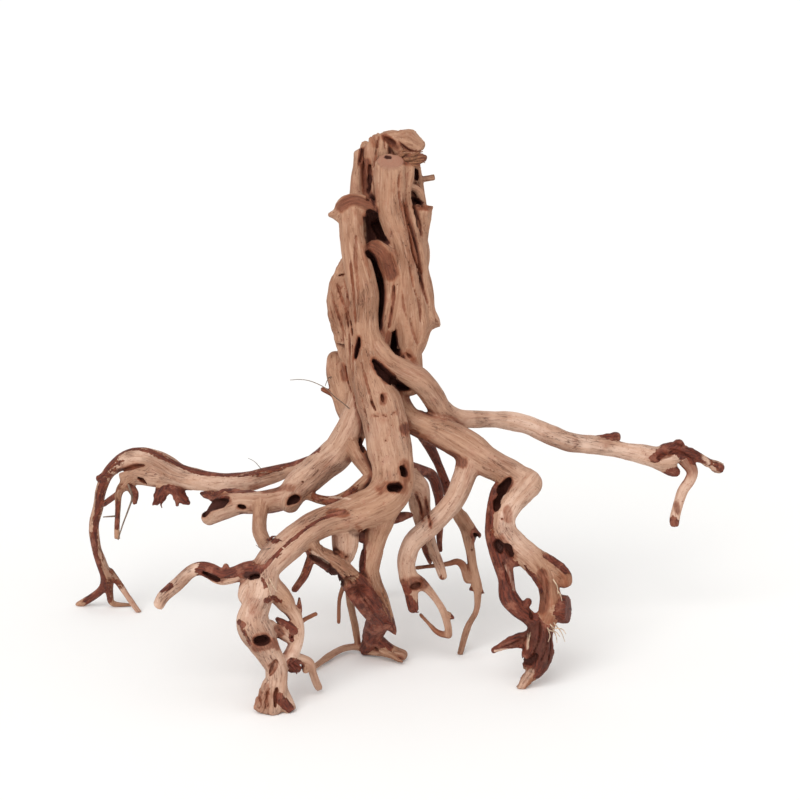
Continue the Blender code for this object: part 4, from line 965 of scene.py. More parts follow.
def skinOf(values):  # a closed mesh around the negative part of a grid
    inside = values < 0
    count = inside[:-1].astype(np.uint8) + inside[1:]
    count = count[:, :-1] + count[:, 1:]
    count = count[:, :, :-1] + count[:, :, 1:]
    cells = np.nonzero((count > 0) & (count < 8))
    number = np.full(count.shape, -1, np.int32)
    number[cells] = np.arange(len(cells[0]), dtype=np.int32)
    corners = np.array([(a, b, c) for a in (0, 1) for b in (0, 1) for c in (0, 1)])
    heights = np.stack([values[cells[0] + a, cells[1] + b, cells[2] + c] for a, b, c in corners], axis=1)
    total = np.zeros((len(cells[0]), 3), np.float32)
    crossings = np.zeros(len(cells[0]), np.float32)
    for first in range(8):
        for second in range(first + 1, 8):
            if np.abs(corners[first] - corners[second]).sum() != 1:
                continue
            one, two = heights[:, first], heights[:, second]
            crossed = (one < 0) != (two < 0)
            share = np.where(crossed, one / np.where(crossed, one - two, 1), 0)
            spot = corners[first] + share[:, None] * (corners[second] - corners[first])
            total += np.where(crossed[:, None], spot, 0)
            crossings += crossed
    points = np.stack(cells, axis=1) + total / crossings[:, None]
    quads = []
    for axis in range(3):
        one = [slice(1, -1)] * 3
        two = [slice(1, -1)] * 3
        one[axis], two[axis] = slice(0, -1), slice(1, None)
        start, end = inside[tuple(one)], inside[tuple(two)]
        for flip in (False, True):
            edges = np.nonzero(start & ~end) if flip else np.nonzero(~start & end)
            edges = [edges[side] + (0 if side == axis else 1) for side in range(3)]
            across, beside = [side for side in range(3) if side != axis]
            ring = []
            for stepAcross, stepBeside in ((-1, -1), (0, -1), (0, 0), (-1, 0)):
                spot = [edge.copy() for edge in edges]
                spot[across] += stepAcross
                spot[beside] += stepBeside
                ring.append(number[tuple(spot)])
            ring = np.stack(ring, axis=1)
            if flip != (axis == 1):
                quads.append(ring)
            else:
                quads.append(ring[:, ::-1])
    return points * cell + grid["low"], np.concatenate(quads)


def largestPart(points, quads):  # leaves out loose crumbs
    label = np.arange(len(points))
    while True:
        lowest = label[quads].min(axis=1)
        fresh = label.copy()
        for corner in range(4):
            np.minimum.at(fresh, quads[:, corner], lowest)
        fresh = fresh[fresh]
        if np.array_equal(fresh, label):
            break
        label = fresh
    names, sizes = np.unique(label, return_counts=True)
    main = names[np.argmax(sizes)]
    kept = label == main
    print("crumbs left out:", int((~kept).sum()), "points")
    fresh = np.cumsum(kept) - 1
    return points[kept], fresh[quads[kept[quads[:, 0]]]]


def meshFrom(name, points, faces):
    mesh = bpy.data.meshes.new(name)
    mesh.vertices.add(len(points))
    mesh.vertices.foreach_set("co", np.asarray(points, np.float32).ravel())
    side = faces.shape[1]
    mesh.loops.add(faces.size)
    mesh.loops.foreach_set("vertex_index", faces.astype(np.int32).ravel())
    mesh.polygons.add(len(faces))
    mesh.polygons.foreach_set("loop_start", np.arange(0, faces.size, side, dtype=np.int32))
    mesh.update(calc_edges=True)
    mesh.validate()
    return mesh


def pieceFrom(name, mesh, finish):
    piece = bpy.data.objects.new(name, mesh)
    bpy.context.collection.objects.link(piece)
    mesh.materials.append(finish)
    mesh.polygons.foreach_set("use_smooth", np.ones(len(mesh.polygons), bool))
    return piece


field[0], field[-1] = wood["farOutside"], wood["farOutside"]
field[:, 0], field[:, -1] = wood["farOutside"], wood["farOutside"]
heights = grid["low"][2] + cell * np.arange(field.shape[2], dtype=np.float32)
np.maximum(field, wood["floor"] - heights, out=field)
skinPoints, skinQuads = skinOf(field)
print("skin:", len(skinPoints), "points")
skinPoints, skinQuads = largestPart(skinPoints, skinQuads)
for _ in range(wood["pulls"]):
    pull = slopeAt(skinPoints, 0.5) * sampleField(skinPoints)[:, None]
    skinPoints = skinPoints - pull * wood["pull"]


def thinned(points, quads, limit):
    mesh = meshFrom("skin", points, quads)
    piece = bpy.data.objects.new("skin", mesh)
    bpy.context.collection.objects.link(piece)
    fewer = piece.modifiers.new("fewer", "DECIMATE")
    fewer.ratio = min(1.0, limit / (2 * len(quads)))
    made = piece.evaluated_get(bpy.context.evaluated_depsgraph_get()).to_mesh()
    made.calc_loop_triangles()
    newPoints = np.zeros(len(made.vertices) * 3, np.float32)
    made.vertices.foreach_get("co", newPoints)
    triangles = np.zeros(len(made.loop_triangles) * 3, np.int32)
    made.loop_triangles.foreach_get("vertices", triangles)
    bpy.data.objects.remove(piece)
    bpy.data.meshes.remove(mesh)
    triangles = triangles.reshape(-1, 3)
    _, number, count = np.unique(np.sort(triangles, axis=1), axis=0, return_inverse=True,
                                 return_counts=True)
    single = count[number.ravel()] == 1  # leaves out folded flaps
    return newPoints.reshape(-1, 3), triangles[single]


limit = wood["triangles"]
woodPoints, woodFaces = thinned(skinPoints, skinQuads, limit)
print("wood mesh:", len(woodFaces), "triangles")
woodNormals = slopeAt(woodPoints)


marking = {
    "pointsAtOnce": 8000,
    "hollowReaches": ((1.2, 0.35), (2.6, 0.35), (5.0, 0.3)),  # how far out it looks, and its share
    "apart": 17.3,  # keeps the grain of one branch from going on in the next
    "fade": 7, "fadeLeast": 0.05, "fadeMost": 0.14,  # of bark along a branch: length and shares
    "toneRounds": 24,
    "softBark": 0.75, "softOther": 0.35,  # how soft the edge of a stroke is
}


def nearestBranch(points):  # the branch sample whose surface is nearest to each point
    centres = np.concatenate([branch["points"] for branch in branches]).astype(np.float32)
    radii = np.concatenate([branch["radii"] for branch in branches]).astype(np.float32)
    owner = np.zeros(len(points), np.int32)
    squares = (centres ** 2).sum(1)
    for first in range(0, len(points), marking["pointsAtOnce"]):
        part = points[first:first + marking["pointsAtOnce"]].astype(np.float32)
        gaps = (part ** 2).sum(1)[:, None] + squares[None] - 2 * part @ centres.T
        gaps = np.sqrt(np.maximum(gaps, 0)) - radii
        owner[first:first + len(part)] = gaps.argmin(1)
    return owner


def stacked(key):
    return np.concatenate([branch[key] for branch in branches])


faceCentres = woodPoints[woodFaces].mean(1)
faceOwner = nearestBranch(faceCentres)
branchOf = np.concatenate([np.full(len(branch["points"]), branch["number"]) for branch in branches])


def grainAt(points, owners):  # across twice, and along the grain drawn short, for each face corner
    offset = points - stacked("points")[owners]
    across = (offset * stacked("sides")[owners]).sum(-1)
    beside = (offset * stacked("normals")[owners]).sum(-1)
    along = stacked("along")[owners] + (offset * stacked("tangents")[owners]).sum(-1)
    away = np.maximum(np.hypot(across, beside), 0.4)
    radius = stacked("radii")[owners]
    grain = np.stack([across / away * radius, beside / away * radius,
                      along * wood["grainStretch"]], axis=-1)
    grain[..., 2] += branchOf[owners] * marking["apart"]
    return grain


cornerOwners = np.repeat(faceOwner, 3)
grain = grainAt(woodPoints[woodFaces.ravel()], cornerOwners)
# How enclosed each point is, looking out along its normal: the material uses it to paint shade into
# recesses and a paler tint onto open parts.
hollow = np.zeros(len(woodPoints))  # how enclosed each point is
for reach, share in marking["hollowReaches"]:
    free = sampleField(woodPoints + woodNormals * reach)
    hollow += share * np.clip(1 - np.minimum(free, wood["reach"]) / min(reach, wood["reach"]), -0.6, 1)
marks = {name: np.zeros(len(woodPoints)) for name in ("bark", "stain", "pale", "soot")}
marks["hollow"] = hollow


def ramp(values, low, high):
    share = np.clip((values - low) / (high - low), 0, 1)
    return share * share * (3 - 2 * share)


# bark, stains and painted shade by branch: from and to as shares of its length, how strong and, for
# some, the side it is on
barked = {
    "bark": {
        "leftArm": [(0, 0.66, 0.44, (0, 1, -0.2)), (0.6, 0.98, 0.5)], "leftToeOuter": [(0, 0.85, 0.7)],
        "leftToeMiddle": [(0, 0.6, 0.6)], "leftToeInner": [(0, 0.5, 0.55)], "armFork": [(0.35, 0.85, 0.42)],
        "armBrace": [(0, 1, 0.6)], "armSpurOuter": [(0.3, 1, 0.9)], "armSpurMiddle": [(0.2, 1, 0.9)],
        "armSpurInner": [(0.3, 1, 0.8)], "armSpurTip": [(0.2, 1, 0.9)], "leftLegSpur": [(0.3, 1, 1)],
        "shoulder": [(0.55, 1, 0.55, (0, 0.2, -1)), (0.2, 0.8, 0.45, (0, 1, 0.2))],
        "crossTwig": [(0.1, 0.95, 0.55)], "crossTwigFork": [(0, 1, 0.5)],
        "lowLeftRoot": [(0.05, 0.55, 0.85, (0, 0.1, 1)), (0.1, 0.5, 0.8, (0, 1, 0))],
        "leftLeg": [(0.1, 0.9, 0.48, (0.2, 1, -0.2))], "leftLegStrand": [(0.1, 0.9, 0.6, (0, 1, 0))],
        "darkRoot": [(0.32, 1, 0.95), (0, 0.4, 0.9, (-0.3, -0.2, -1))], "darkRootSplinter": [(0, 1, 0.9)],
        "darkRootHeel": [(0, 0.7, 0.8)], "underTwig": [(0, 1, 0.62)],
        "floorRoot": [(0.1, 0.9, 0.6, (0, 0.3, -1))],
        "backLeg": [(0.15, 0.6, 0.5, (0.4, 1, 0.2)), (0.7, 1, 0.55, (-1, 0.4, 0))],
        "backStub": [(0.2, 0.8, 0.5, (-0.4, 0.5, 1))], "backRib": [(0.2, 0.5, 0.4, (-0.6, 1, 0))],
        "darkFlap": [(0.2, 1, 1)], "stubBridge": [(0, 1, 0.9)], "shoulderWeb": [(0, 0.8, 0.62)],
        "armBud": [(0.2, 1, 0.95)], "armForkSpur": [(0.4, 1, 0.95)], "hiddenNub": [(0.3, 1, 0.7)],
        "hiddenNubRight": [(0.3, 1, 0.7)], "twigNub": [(0.3, 1, 0.9)],
        "rightRoot": [(0.15, 0.7, 0.46, (0, 0.9, -0.6))], "rightLeg": [(0.2, 0.7, 0.48, (0.3, 1, 0))],
        "rightLegFoot": [(0, 0.68, 0.8)], "rightLegStrand": [(0.05, 1, 0.85)], "rightLegWeb": [(0, 1, 0.6)],
        "rightLegKnob": [(0.3, 1, 0.85, (0.6, 0.2, 1))], "rightLegStub": [(0.2, 1, 0.9)],
        "rightLegThorn": [(0.05, 1, 0.92)], "rightLegClump": [(0, 1, 0.85)], "rungBark": [(0, 1, 1)],
        "leftLegHorn": [(0, 1, 0.6)], "rightLegBud": [(0, 1, 0.8)], "armEndKnob": [(0.2, 1, 0.9)],
        "armEndStub": [(0.3, 1, 0.8)], "armEnd": [(0, 0.62, 0.8), (0.6, 1, 0.44)],
        "hangingTwig": [(0.9, 1, 0.9)], "hiddenRoot": [(0.1, 0.4, 0.8)], "hiddenRootStub": [(0.7, 1, 0.7)],
        "darkArch": [(0, 1, 0.85)], "paleArch": [(0.97, 1, 0.7)],
        "forkedRoot": [(0.2, 0.9, 0.46, (-0.3, 1, 0)), (0.98, 1, 0.95)],
        "forkedRootTwig": [(0.05, 0.25, 0.6)], "crossingRoot": [(0.45, 0.95, 0.44, (0, 1, -0.2))],
        "armKnob": [(0, 1, 0.85)], "lowLeftKnob": [(0.2, 0.8, 0.44, (-0.2, 1, 0))],
    },
    # Rules whose side faces down (rightRoot, crossingRoot, innerStrand, leftLegTwig, armWeb) make those
    # roots darker on their undersides.
    "stain": {
        "leftToeInner": [(0.4, 1, 0.4)], "innerStrand": [(0, 1, 0.5, (0.5, -0.4, -0.8))],
        "shoulderBrace": [(0.2, 1, 0.7, (0.5, 1, 0))], "leftLegPin": [(0.2, 1, 0.6)],
        "leftLegTwig": [(0, 1, 0.6, (0, 0.4, -1))], "thinLeg": [(0, 1, 0.7, (0.3, 0.6, 0))],
        "thinTwig": [(0, 1, 0.55)], "backRib": [(0.5, 1, 0.45, (0.5, 1, 0))],
        "frontStem": [(0.06, 1, 0.22)], "rightRoot": [(0.2, 0.75, 0.95, (0, -0.2, -1))],
        "rightLeg": [(0.66, 1, 0.5)], "rightLegFoot": [(0.5, 1, 0.35)], "rightLegBack": [(0, 1, 1)],
        "rightLegKnob": [(0.7, 1, 0.5)], "leftFootLobe": [(0.3, 1, 0.45)],
        "armWeb": [(0, 1, 0.6, (0, 0.4, -1))], "hangingTwig": [(0, 0.3, 0.7)],
        "hiddenRoot": [(0.4, 1, 0.6, (0.5, 1, 0))], "paleArch": [(0, 1, 0.6, (0, 1, 0))],
        "levelTwig": [(0.2, 1, 0.6)], "forkedRootTip": [(0, 1, 0.5)],
        "crossingRoot": [(0.5, 0.9, 0.3, (0, 0, -1))], "splinters": [(0.2, 1, 0.6)],
        "lowLeftSpur": [(0.2, 1, 0.7)],
    },
    # painted shade: these branches lie behind others and are painted darker
    "soot": {
        "darkFlap": [(0, 1, 0.35)], "stubBridge": [(0, 1, 0.3)], "rightLegBack": [(0, 0.8, 0.6)],
    },
}

# The same where the photo shows it, by mark: pixels along each, its half width in pixels, how strong
# it is and, for some, how deep a layer it colours in millimetres. Both dark marks are painted shade:
# one lies only where the wood is enclosed, the other in the open as well. Some stain strokes also
# paint shade onto parts that lie in shadow.
strokes = {
    "stain": [
        ([(341, 207), (347, 202), (355, 200), (365, 204), (374, 211)], 6, 0.8),
        ([(414, 207), (430, 208)], 3, 0.6), ([(385, 137), (392, 143), (397, 147)], 4, 0.7),
        ([(357, 212), (363, 222), (364, 234)], 4, 0.5),
        ([(373, 247), (380, 254), (387, 263), (391, 273)], 9, 0.75), ([(388, 268), (392, 275)], 5, 0.9),
        ([(404, 159), (413, 160), (424, 159)], 6, 0.9),
        ([(366, 162), (367, 176), (367, 190), (370, 202)], 5, 0.8), ([(361, 150), (359, 164)], 2, 0.9),
        ([(372, 138), (374, 146)], 3, 0.4),
        ([(404, 204), (406, 216), (409, 230), (412, 243), (416, 258), (421, 272)], 1.8, 0.6),
        ([(362, 246), (366, 262), (371, 276)], 2.5, 0.5), ([(355, 240), (358, 262), (360, 290)], 2, 0.3),
        ([(393.7, 286), (393.4, 301), (391.5, 312), (389, 326)], 1.6, 0.9),
        ([(335, 285), (340, 300), (345, 316)], 6, 0.35), ([(388, 333), (387, 342)], 2.5, 0.8),
        ([(409, 352), (413, 358)], 3.5, 0.6), ([(414, 322), (417, 338)], 3, 0.35),
        ([(342, 366), (345, 378)], 4, 0.7), ([(384, 396), (383, 402)], 4, 0.7),
        ([(372, 416), (380, 415), (391, 416), (396, 413)], 2.6, 0.34),
        ([(380, 420), (392, 424), (388, 432), (386, 440)], 3, 0.35), ([(379, 489), (380, 492)], 4, 0.7),
        ([(404, 465), (405, 478)], 6.5, 0.6), ([(386, 487), (402, 488)], 6.5, 0.6),
        ([(405, 428), (420, 440), (440, 452), (462, 462)], 6, 0.95),
        ([(262, 491), (272, 491), (280, 488)], 2.2, 0.8), ([(250, 489), (270, 487), (292, 488)], 4, 0.6),
        ([(204, 505), (228, 500)], 4, 0.7), ([(330, 513), (345, 513)], 4, 0.8),
        ([(246, 550), (258, 565)], 6, 0.35), ([(205, 574), (222, 579)], 4, 0.8),
        ([(255, 648), (270, 646)], 4, 0.7), ([(273, 640), (278, 648)], 3, 0.7),
        ([(277, 628), (281, 633)], 3.5, 0.9), ([(258, 694), (266, 702), (262, 708)], 5, 0.35),
        ([(266, 686), (268, 706)], 3, 0.5), ([(542, 574), (545, 590), (543, 608)], 6, 0.8),
        ([(250, 590), (254, 606), (252, 622)], 6, 0.34), ([(203, 496), (214, 496), (226, 495)], 3, 0.7),
        ([(676, 504), (678, 512)], 3.4, 0.7), ([(341, 553), (346, 557)], 3.5, 0.5),
        ([(376, 592), (384, 612), (388, 630)], 4, 0.6), ([(358, 526), (362, 534)], 3, 0.6),
        ([(496, 506), (501, 492), (508, 483)], 6.5, 0.8), ([(507, 509), (509, 520)], 4.5, 0.5),
        ([(500, 540), (512, 556)], 6, 0.6), ([(559, 602), (559, 614)], 4, 0.6),
        ([(407, 584), (422, 583)], 7.5, 0.85), ([(416, 494), (420, 505), (423, 520)], 1.6, 0.8),
        ([(425, 498), (428, 512), (431, 528)], 1.4, 0.8),
    ],
    "gloom": [
        ([(386, 139), (397, 147)], 1.2, 0.4), ([(369, 252), (374, 263)], 2, 0.7, 6),
        ([(386, 157.2), (390, 158)], 1.7, 0.9, 3), ([(370, 220), (371, 228), (371, 237)], 4.5, 1, 7),
        ([(374, 214), (379, 224), (384, 234)], 5, 1, 7), ([(247, 575), (257, 575)], 3.6, 0.8),
        ([(270, 672), (273, 664)], 1.4, 0.5), ([(352, 532), (360, 536)], 4, 0.5, 9),
        ([(362, 545), (362.5, 557), (362, 567)], 1.8, 0.5, 4),
        ([(331, 572), (336, 578), (340, 583)], 4.6, 0.95, 6),
        ([(311, 557), (320, 562), (330, 568)], 2.6, 0.7, 5),
        ([(534, 630), (541, 645), (545, 660)], 11, 0.48, 9),
        ([(207, 512), (211, 506), (220, 503)], 4, 0.4, 6), ([(505, 645), (520, 640)], 5, 0.3, 6),
        ([(477, 535), (479, 541)], 2.4, 0.6, 4),
    ],
    "soot": [
        ([(370, 178), (370, 190), (372, 204)], 3.5, 0.8, 14), ([(394, 143), (390, 141)], 3, 0.5),
        ([(370, 216), (375, 226), (382, 237)], 11, 1, 40), ([(415, 171), (417, 180)], 4, 0.9, 14),
        ([(411, 200), (420, 203)], 4, 0.9, 14),
        ([(371, 257), (375, 268), (380, 282), (381, 298), (380, 314), (378, 326)], 4.5, 1, 16),
        ([(393, 340), (395, 353)], 5.5, 1, 16), ([(357.5, 342), (356, 355)], 2, 0.8, 10),
        ([(376, 364), (386, 376), (400, 386)], 5, 1, 20), ([(249, 577), (257, 575)], 4.4, 1),
        ([(333, 572), (341, 582)], 4.5, 0.9),
    ],
    "bark": [
        ([(412, 436), (432, 450), (450, 457)], 3, 0.45),
        ([(319, 449), (300, 460), (286, 465.5), (268, 469), (252, 473), (238, 474.5), (218, 474),
            (195, 471), (170, 461), (150, 451), (135, 448), (120, 453), (108, 466),
            (103, 480)], 3, 0.72, 4), ([(256, 475), (268, 471), (282, 468)], 4, 0.6, 4),
        ([(228, 491.5), (245, 491.5), (258, 490)], 1.8, 0.8),
        ([(204, 501), (214, 498), (228, 498)], 2.2, 0.9), ([(268, 540), (277, 541)], 3, 0.8),
        ([(152, 496), (160, 492), (168, 489), (178, 491), (187, 496)], 4.5, 0.95),
        ([(103, 478), (99, 495), (96, 520), (95, 545), (98, 565), (104, 580)], 3.6, 0.72),
        ([(96, 475), (103, 480)], 4, 0.9), ([(130, 486), (137, 496), (135, 503)], 3, 0.85),
        ([(118, 500), (117, 528)], 3, 0.66),
        ([(345, 511), (320, 520), (295, 537), (276, 555), (262, 570)], 1.7, 0.95),
        ([(163, 589), (170, 586)], 4.5, 0.8),
        ([(201, 572), (212, 571), (226, 572), (240, 571), (256, 570)], 7, 0.85),
        ([(266, 601), (273, 597.5), (280, 602)], 3, 0.8), ([(262, 578), (266, 588)], 2, 0.75),
        ([(239, 622), (244, 625)], 3, 0.8), ([(243, 630), (247, 637), (250, 644)], 2.4, 0.75),
        ([(291, 636), (292, 640)], 2.4, 0.95), ([(279, 698), (284, 703), (289, 708)], 6, 0.85),
        ([(293, 664), (298, 666)], 6, 1), ([(362, 543), (363, 557), (362, 570)], 3, 0.9),
        ([(401, 590), (405, 586), (408, 592)], 4, 0.9), ([(404, 600), (411, 604), (416, 608)], 6, 0.95),
        ([(476, 531), (480, 541)], 4, 0.95), ([(706, 452), (712, 461), (722, 471)], 3, 0.7),
        ([(655, 459), (664, 451), (675, 446), (688, 452), (694, 461)], 5, 0.95),
        ([(700, 459), (712, 463), (723, 468)], 4, 0.7), ([(672, 521), (677, 526)], 5, 0.9),
        ([(492, 486), (490, 505), (489, 530), (492, 560), (500, 585), (506, 603)], 4.5, 0.66),
        ([(545, 556), (556, 564), (566, 572)], 2.6, 0.9), ([(564, 598), (568, 608), (566, 620)], 4, 0.95),
        ([(532, 626), (538, 640), (544, 654), (546, 662)], 9, 0.9),
        ([(425, 442), (434, 456), (442, 474)], 4, 0.8, 12), ([(424, 546), (429, 561)], 3.5, 0.8),
        ([(474, 532), (480, 544)], 4, 0.8),
    ],
    "pale": [
        ([(95, 500), (93, 512)], 1, 0.4), ([(330, 497), (350, 499)], 0.9, 0.8),
        ([(312, 552), (328, 563)], 1.6, 0.6), ([(495, 651), (506, 649.5), (512, 650)], 1.4, 0.6),
        ([(506, 566), (511, 578), (514, 590)], 2, 0.4), ([(704, 457), (709, 463)], 2.4, 0.6),
        ([(528, 634), (528, 647)], 0.8, 0.9), ([(531, 672), (525, 680), (519, 690)], 4, 0.5),
    ],
}

# the same on the far side
backStrokes = {
    "bark": [
        ([(352, 226), (349, 262), (347, 300)], 5, 0.62), ([(410, 330), (404, 362)], 4, 0.6),
        ([(398, 168), (402, 196)], 4, 0.6), ([(366, 382), (374, 410), (378, 440)], 5, 0.6),
        ([(318, 470), (290, 492), (262, 500)], 5, 0.6), ([(310, 520), (286, 538), (270, 556)], 5, 0.6),
        ([(448, 446), (474, 458), (496, 474)], 6, 0.6), ([(260, 604), (256, 622)], 6, 0.6),
        ([(528, 566), (542, 590)], 5, 0.6), ([(440, 512), (420, 536)], 4, 0.6),
        ([(384, 300), (388, 330)], 3.5, 0.55),
    ],
    "stain": [
        ([(380, 200), (374, 240), (376, 286)], 6, 0.5), ([(404, 286), (406, 304)], 8, 0.6),
        ([(390, 396), (392, 416)], 7, 0.5), ([(330, 452), (322, 462)], 7, 0.5),
        ([(386, 520), (385, 540)], 5, 0.6), ([(345, 320), (352, 350)], 6, 0.45),
    ],
    "soot": [
        ([(378, 190), (370, 246), (381, 308)], 5, 0.9, 14),
    ],
}

vertexOwner = nearestBranch(woodPoints)
ownerBranch = branchOf[vertexOwner]
lengths = np.array([branch["along"][-1] for branch in branches])
shareAlong = stacked("along")[vertexOwner] / lengths[ownerBranch]
numberOf = {branch["name"]: branch["number"] for branch in branches}
for mark, name, rules in [(mark, *entry) for mark, group in barked.items() for entry in group.items()]:
    for start, end, amount, *side in rules:
        soft = np.clip(marking["fade"] / lengths[numberOf[name]], marking["fadeLeast"],
                       marking["fadeMost"])
        weight = ramp(shareAlong, start - soft, start + soft) if start > 0 else 1.0
        weight = weight * (1 - ramp(shareAlong, end - soft, end + soft) if end < 1 else 1.0)
        if side:
            weight = weight * ramp(woodNormals @ unit(np.array(side[0], float)), 0.25, 0.8)
        weight = weight * (ownerBranch == numberOf[name]) * amount
        marks[mark] = np.maximum(marks[mark], weight)

# how pale each root is along its length: 0 for brown wood as on the trunk, 1 for the palest
paleness = {
    "leftStem": [(0, 0.05), (0.35, 0.1), (0.52, 0.4), (0.66, 0.15), (0.8, 0.3), (1, 0.6)],
    "frontStem": [(0, 0.1), (0.6, 0.05)],
    "crossingRoot": [(0, 0.15), (0.3, 0.4), (0.5, 0.7), (0.6, 0.9), (1, 0.8)],
    "rightRoot": [(0, 0.1), (0.35, 0.2), (1, 0.45)],
    "rightLeg": [(0, 0.55), (0.35, 0.85), (0.6, 0.25), (1, 0)],
    "leftLeg": [(0, 0.75), (0.5, 0.8), (1, 0.5)], "leftFootLobe": [(0, 0.6)], "leftLegToe": [(0, 0.6)],
    "leftLegStrand": [(0, 0.75)], "leftLegRung": [(0, 0.6)], "leftLegTwig": [(0, 0.5)],
    "leftKnob": [(0, 0.8)], "lowLeftRoot": [(0, 0.2), (0.5, 1.1), (0.7, 1.5)],
    "leftArm": [(0, 0.3), (0.4, 0.7), (1, 0.45)], "armWeb": [(0, 0.5)], "shoulder": [(0, 0.5), (1, 0.5)],
    "rightBurl": [(0, 0.4)], "backLeftStem": [(0, 0.3), (0.5, 0)], "shoulderStub": [(0, 0.4)],
    "forkedRoot": [(0, 0.5), (0.5, 0.7), (1, 0.4)], "forkedRootTwig": [(0, 0.5)], "hangingTwig": [(0, 0.8)],
    "armEnd": [(0, 0.6)], "paleArch": [(0, 0.4), (1, 0.7)], "floorRoot": [(0, 0.4)], "paleStub": [(0, 0.6)],
    "middleLeg": [(0, 0.15)], "hiddenRoot": [(0, 0.3)], "leftToeInner": [(0, 0.7)],
    "lowLeftKnob": [(0, 0.15)],
}
tone = np.zeros(len(woodPoints))
for name, rows in paleness.items():
    own = ownerBranch == numberOf[name]
    tone[own] = np.interp(shareAlong[own], *np.array(rows, float).T)
corners = woodFaces.ravel()
meeting = np.bincount(corners, minlength=len(woodPoints))
for _ in range(marking["toneRounds"]):  # no hard border where two roots meet
    faceTone = np.repeat(tone[woodFaces].mean(1), 3)
    tone = np.bincount(corners, weights=faceTone, minlength=len(woodPoints)) / np.maximum(meeting, 1)
marks["tone"] = tone

relative = woodPoints - eye
depths = relative @ awayWay
pixels = np.stack([relative @ rightWay, relative @ -upWay], axis=1)
pixels = view["photoCentre"] + pixels * (view["distance"] / depths / view["pixelSize"])[:, None]
drawn = [(behind, mark, *stroke) for behind, groups in ((False, strokes), (True, backStrokes))
         for mark, group in groups.items() for stroke in group]
for behind, mark, path, half, amount, *thickness in drawn:
    hits = traced(path, behind)
    if hits is None:
        print("nothing to colour at", path[0])
        continue
    thickness = thickness[0] if thickness else 4 + half * 0.5
    rows = curveThrough(np.array([(x, y, 0.0) for x, y in path]), view["pathStep"])[:, :2]
    margin = half * 2 + 2
    close = (pixels > rows.min(0) - margin) & (pixels < rows.max(0) + margin)
    close = np.nonzero(close.all(1))[0]
    gaps = np.linalg.norm(pixels[close][:, None] - rows, axis=2)
    frontDepth = ((hits - eye) @ awayWay)[gaps.argmin(1)]
    soft = marking["softBark"] if mark == "bark" else marking["softOther"]
    weight = 1 - ramp(gaps.min(1), half * (1 - soft), half * (1 + soft * 0.8) + 0.6)
    weight = weight * (1 - ramp(np.abs(depths[close] - frontDepth), thickness, thickness * 1.4))
    # painted shade: one dark mark is kept to enclosed points, the other is painted in the open too, and
    # both go into one layer
    if mark == "soot":
        weight = weight * ramp(hollow[close], 0.05, 0.4)
    mark = "soot" if mark == "gloom" else mark
    marks[mark][close] = np.maximum(marks[mark][close], weight * amount)
for trench in trenches:
    flat = np.stack([woodPoints @ trench["first"], woodPoints @ trench["second"]], axis=1)
    margin = trench["widths"].max() + 4
    close = (flat > trench["flat"].min(0) - margin) & (flat < trench["flat"].max(0) + margin)
    close = np.nonzero(close.all(1))[0]
    outside, sunk, width = measureTrench(trench, *woodPoints[close].T)
    deep = trench["deep"]
    # Inside a hole the wood is painted darker the deeper it lies: painted shade. The ring around its rim is
    # stained.
    inside = (1 - ramp(outside, -0.4, 0.6)) * (1 - ramp(sunk, deep + 1.5, deep + 3))
    dark = inside * ramp(sunk, 0.4, min(2.4, 0.5 + deep * 0.45))
    stainedAndShaded = inside * ramp(sunk, 0.1, 1.0) * min(1.0, 0.1 + deep / 5)
    rim = (1 - ramp(outside, 0.3, 1.9)) * (np.abs(sunk) < 3) * min(1.0, (deep - 1) / 5)
    marks["soot"][close] = np.maximum(marks["soot"][close], dark * float(ramp(deep, 1.2, 5.0)))
    marks["stain"][close] = np.maximum(marks["stain"][close], np.maximum(stainedAndShaded, rim * 0.65))

# sawn ends: across the grain the wood is pinker, with faint rings
marks["cut"] = np.zeros(len(woodPoints))
marks["ring"] = np.zeros(len(woodPoints))
for branch in branches:
    if branch["name"] not in ("frontStem", "rightPin"):
        continue
    outward = unit(np.array(branch["shape"]["sawn"]))
    offset = woodPoints - branch["points"][branch["cutAt"]]
    height = offset @ outward
    away = np.linalg.norm(offset - height[:, None] * outward, axis=1)
    radius = branch["radii"][branch["cutAt"]]
    onFace = (1 - ramp(np.abs(height), 0.25, 0.7)) * (1 - ramp(away, radius * 1.0, radius * 1.12))
    onFace = onFace * ramp(woodNormals @ outward, 0.7, 0.9)
    marks["cut"] = np.maximum(marks["cut"], onFace)
    marks["ring"] = np.where(away < radius * 2, away, marks["ring"])
print("bark, stains and hollows marked")


def linear(red, green, blue):  # a colour as seen on screen, made linear
    parts = [value / 255 for value in (red, green, blue)]
    parts = [part / 12.92 if part <= 0.04045 else ((part + 0.055) / 1.055) ** 2.4 for part in parts]
    return (*parts, 1.0)


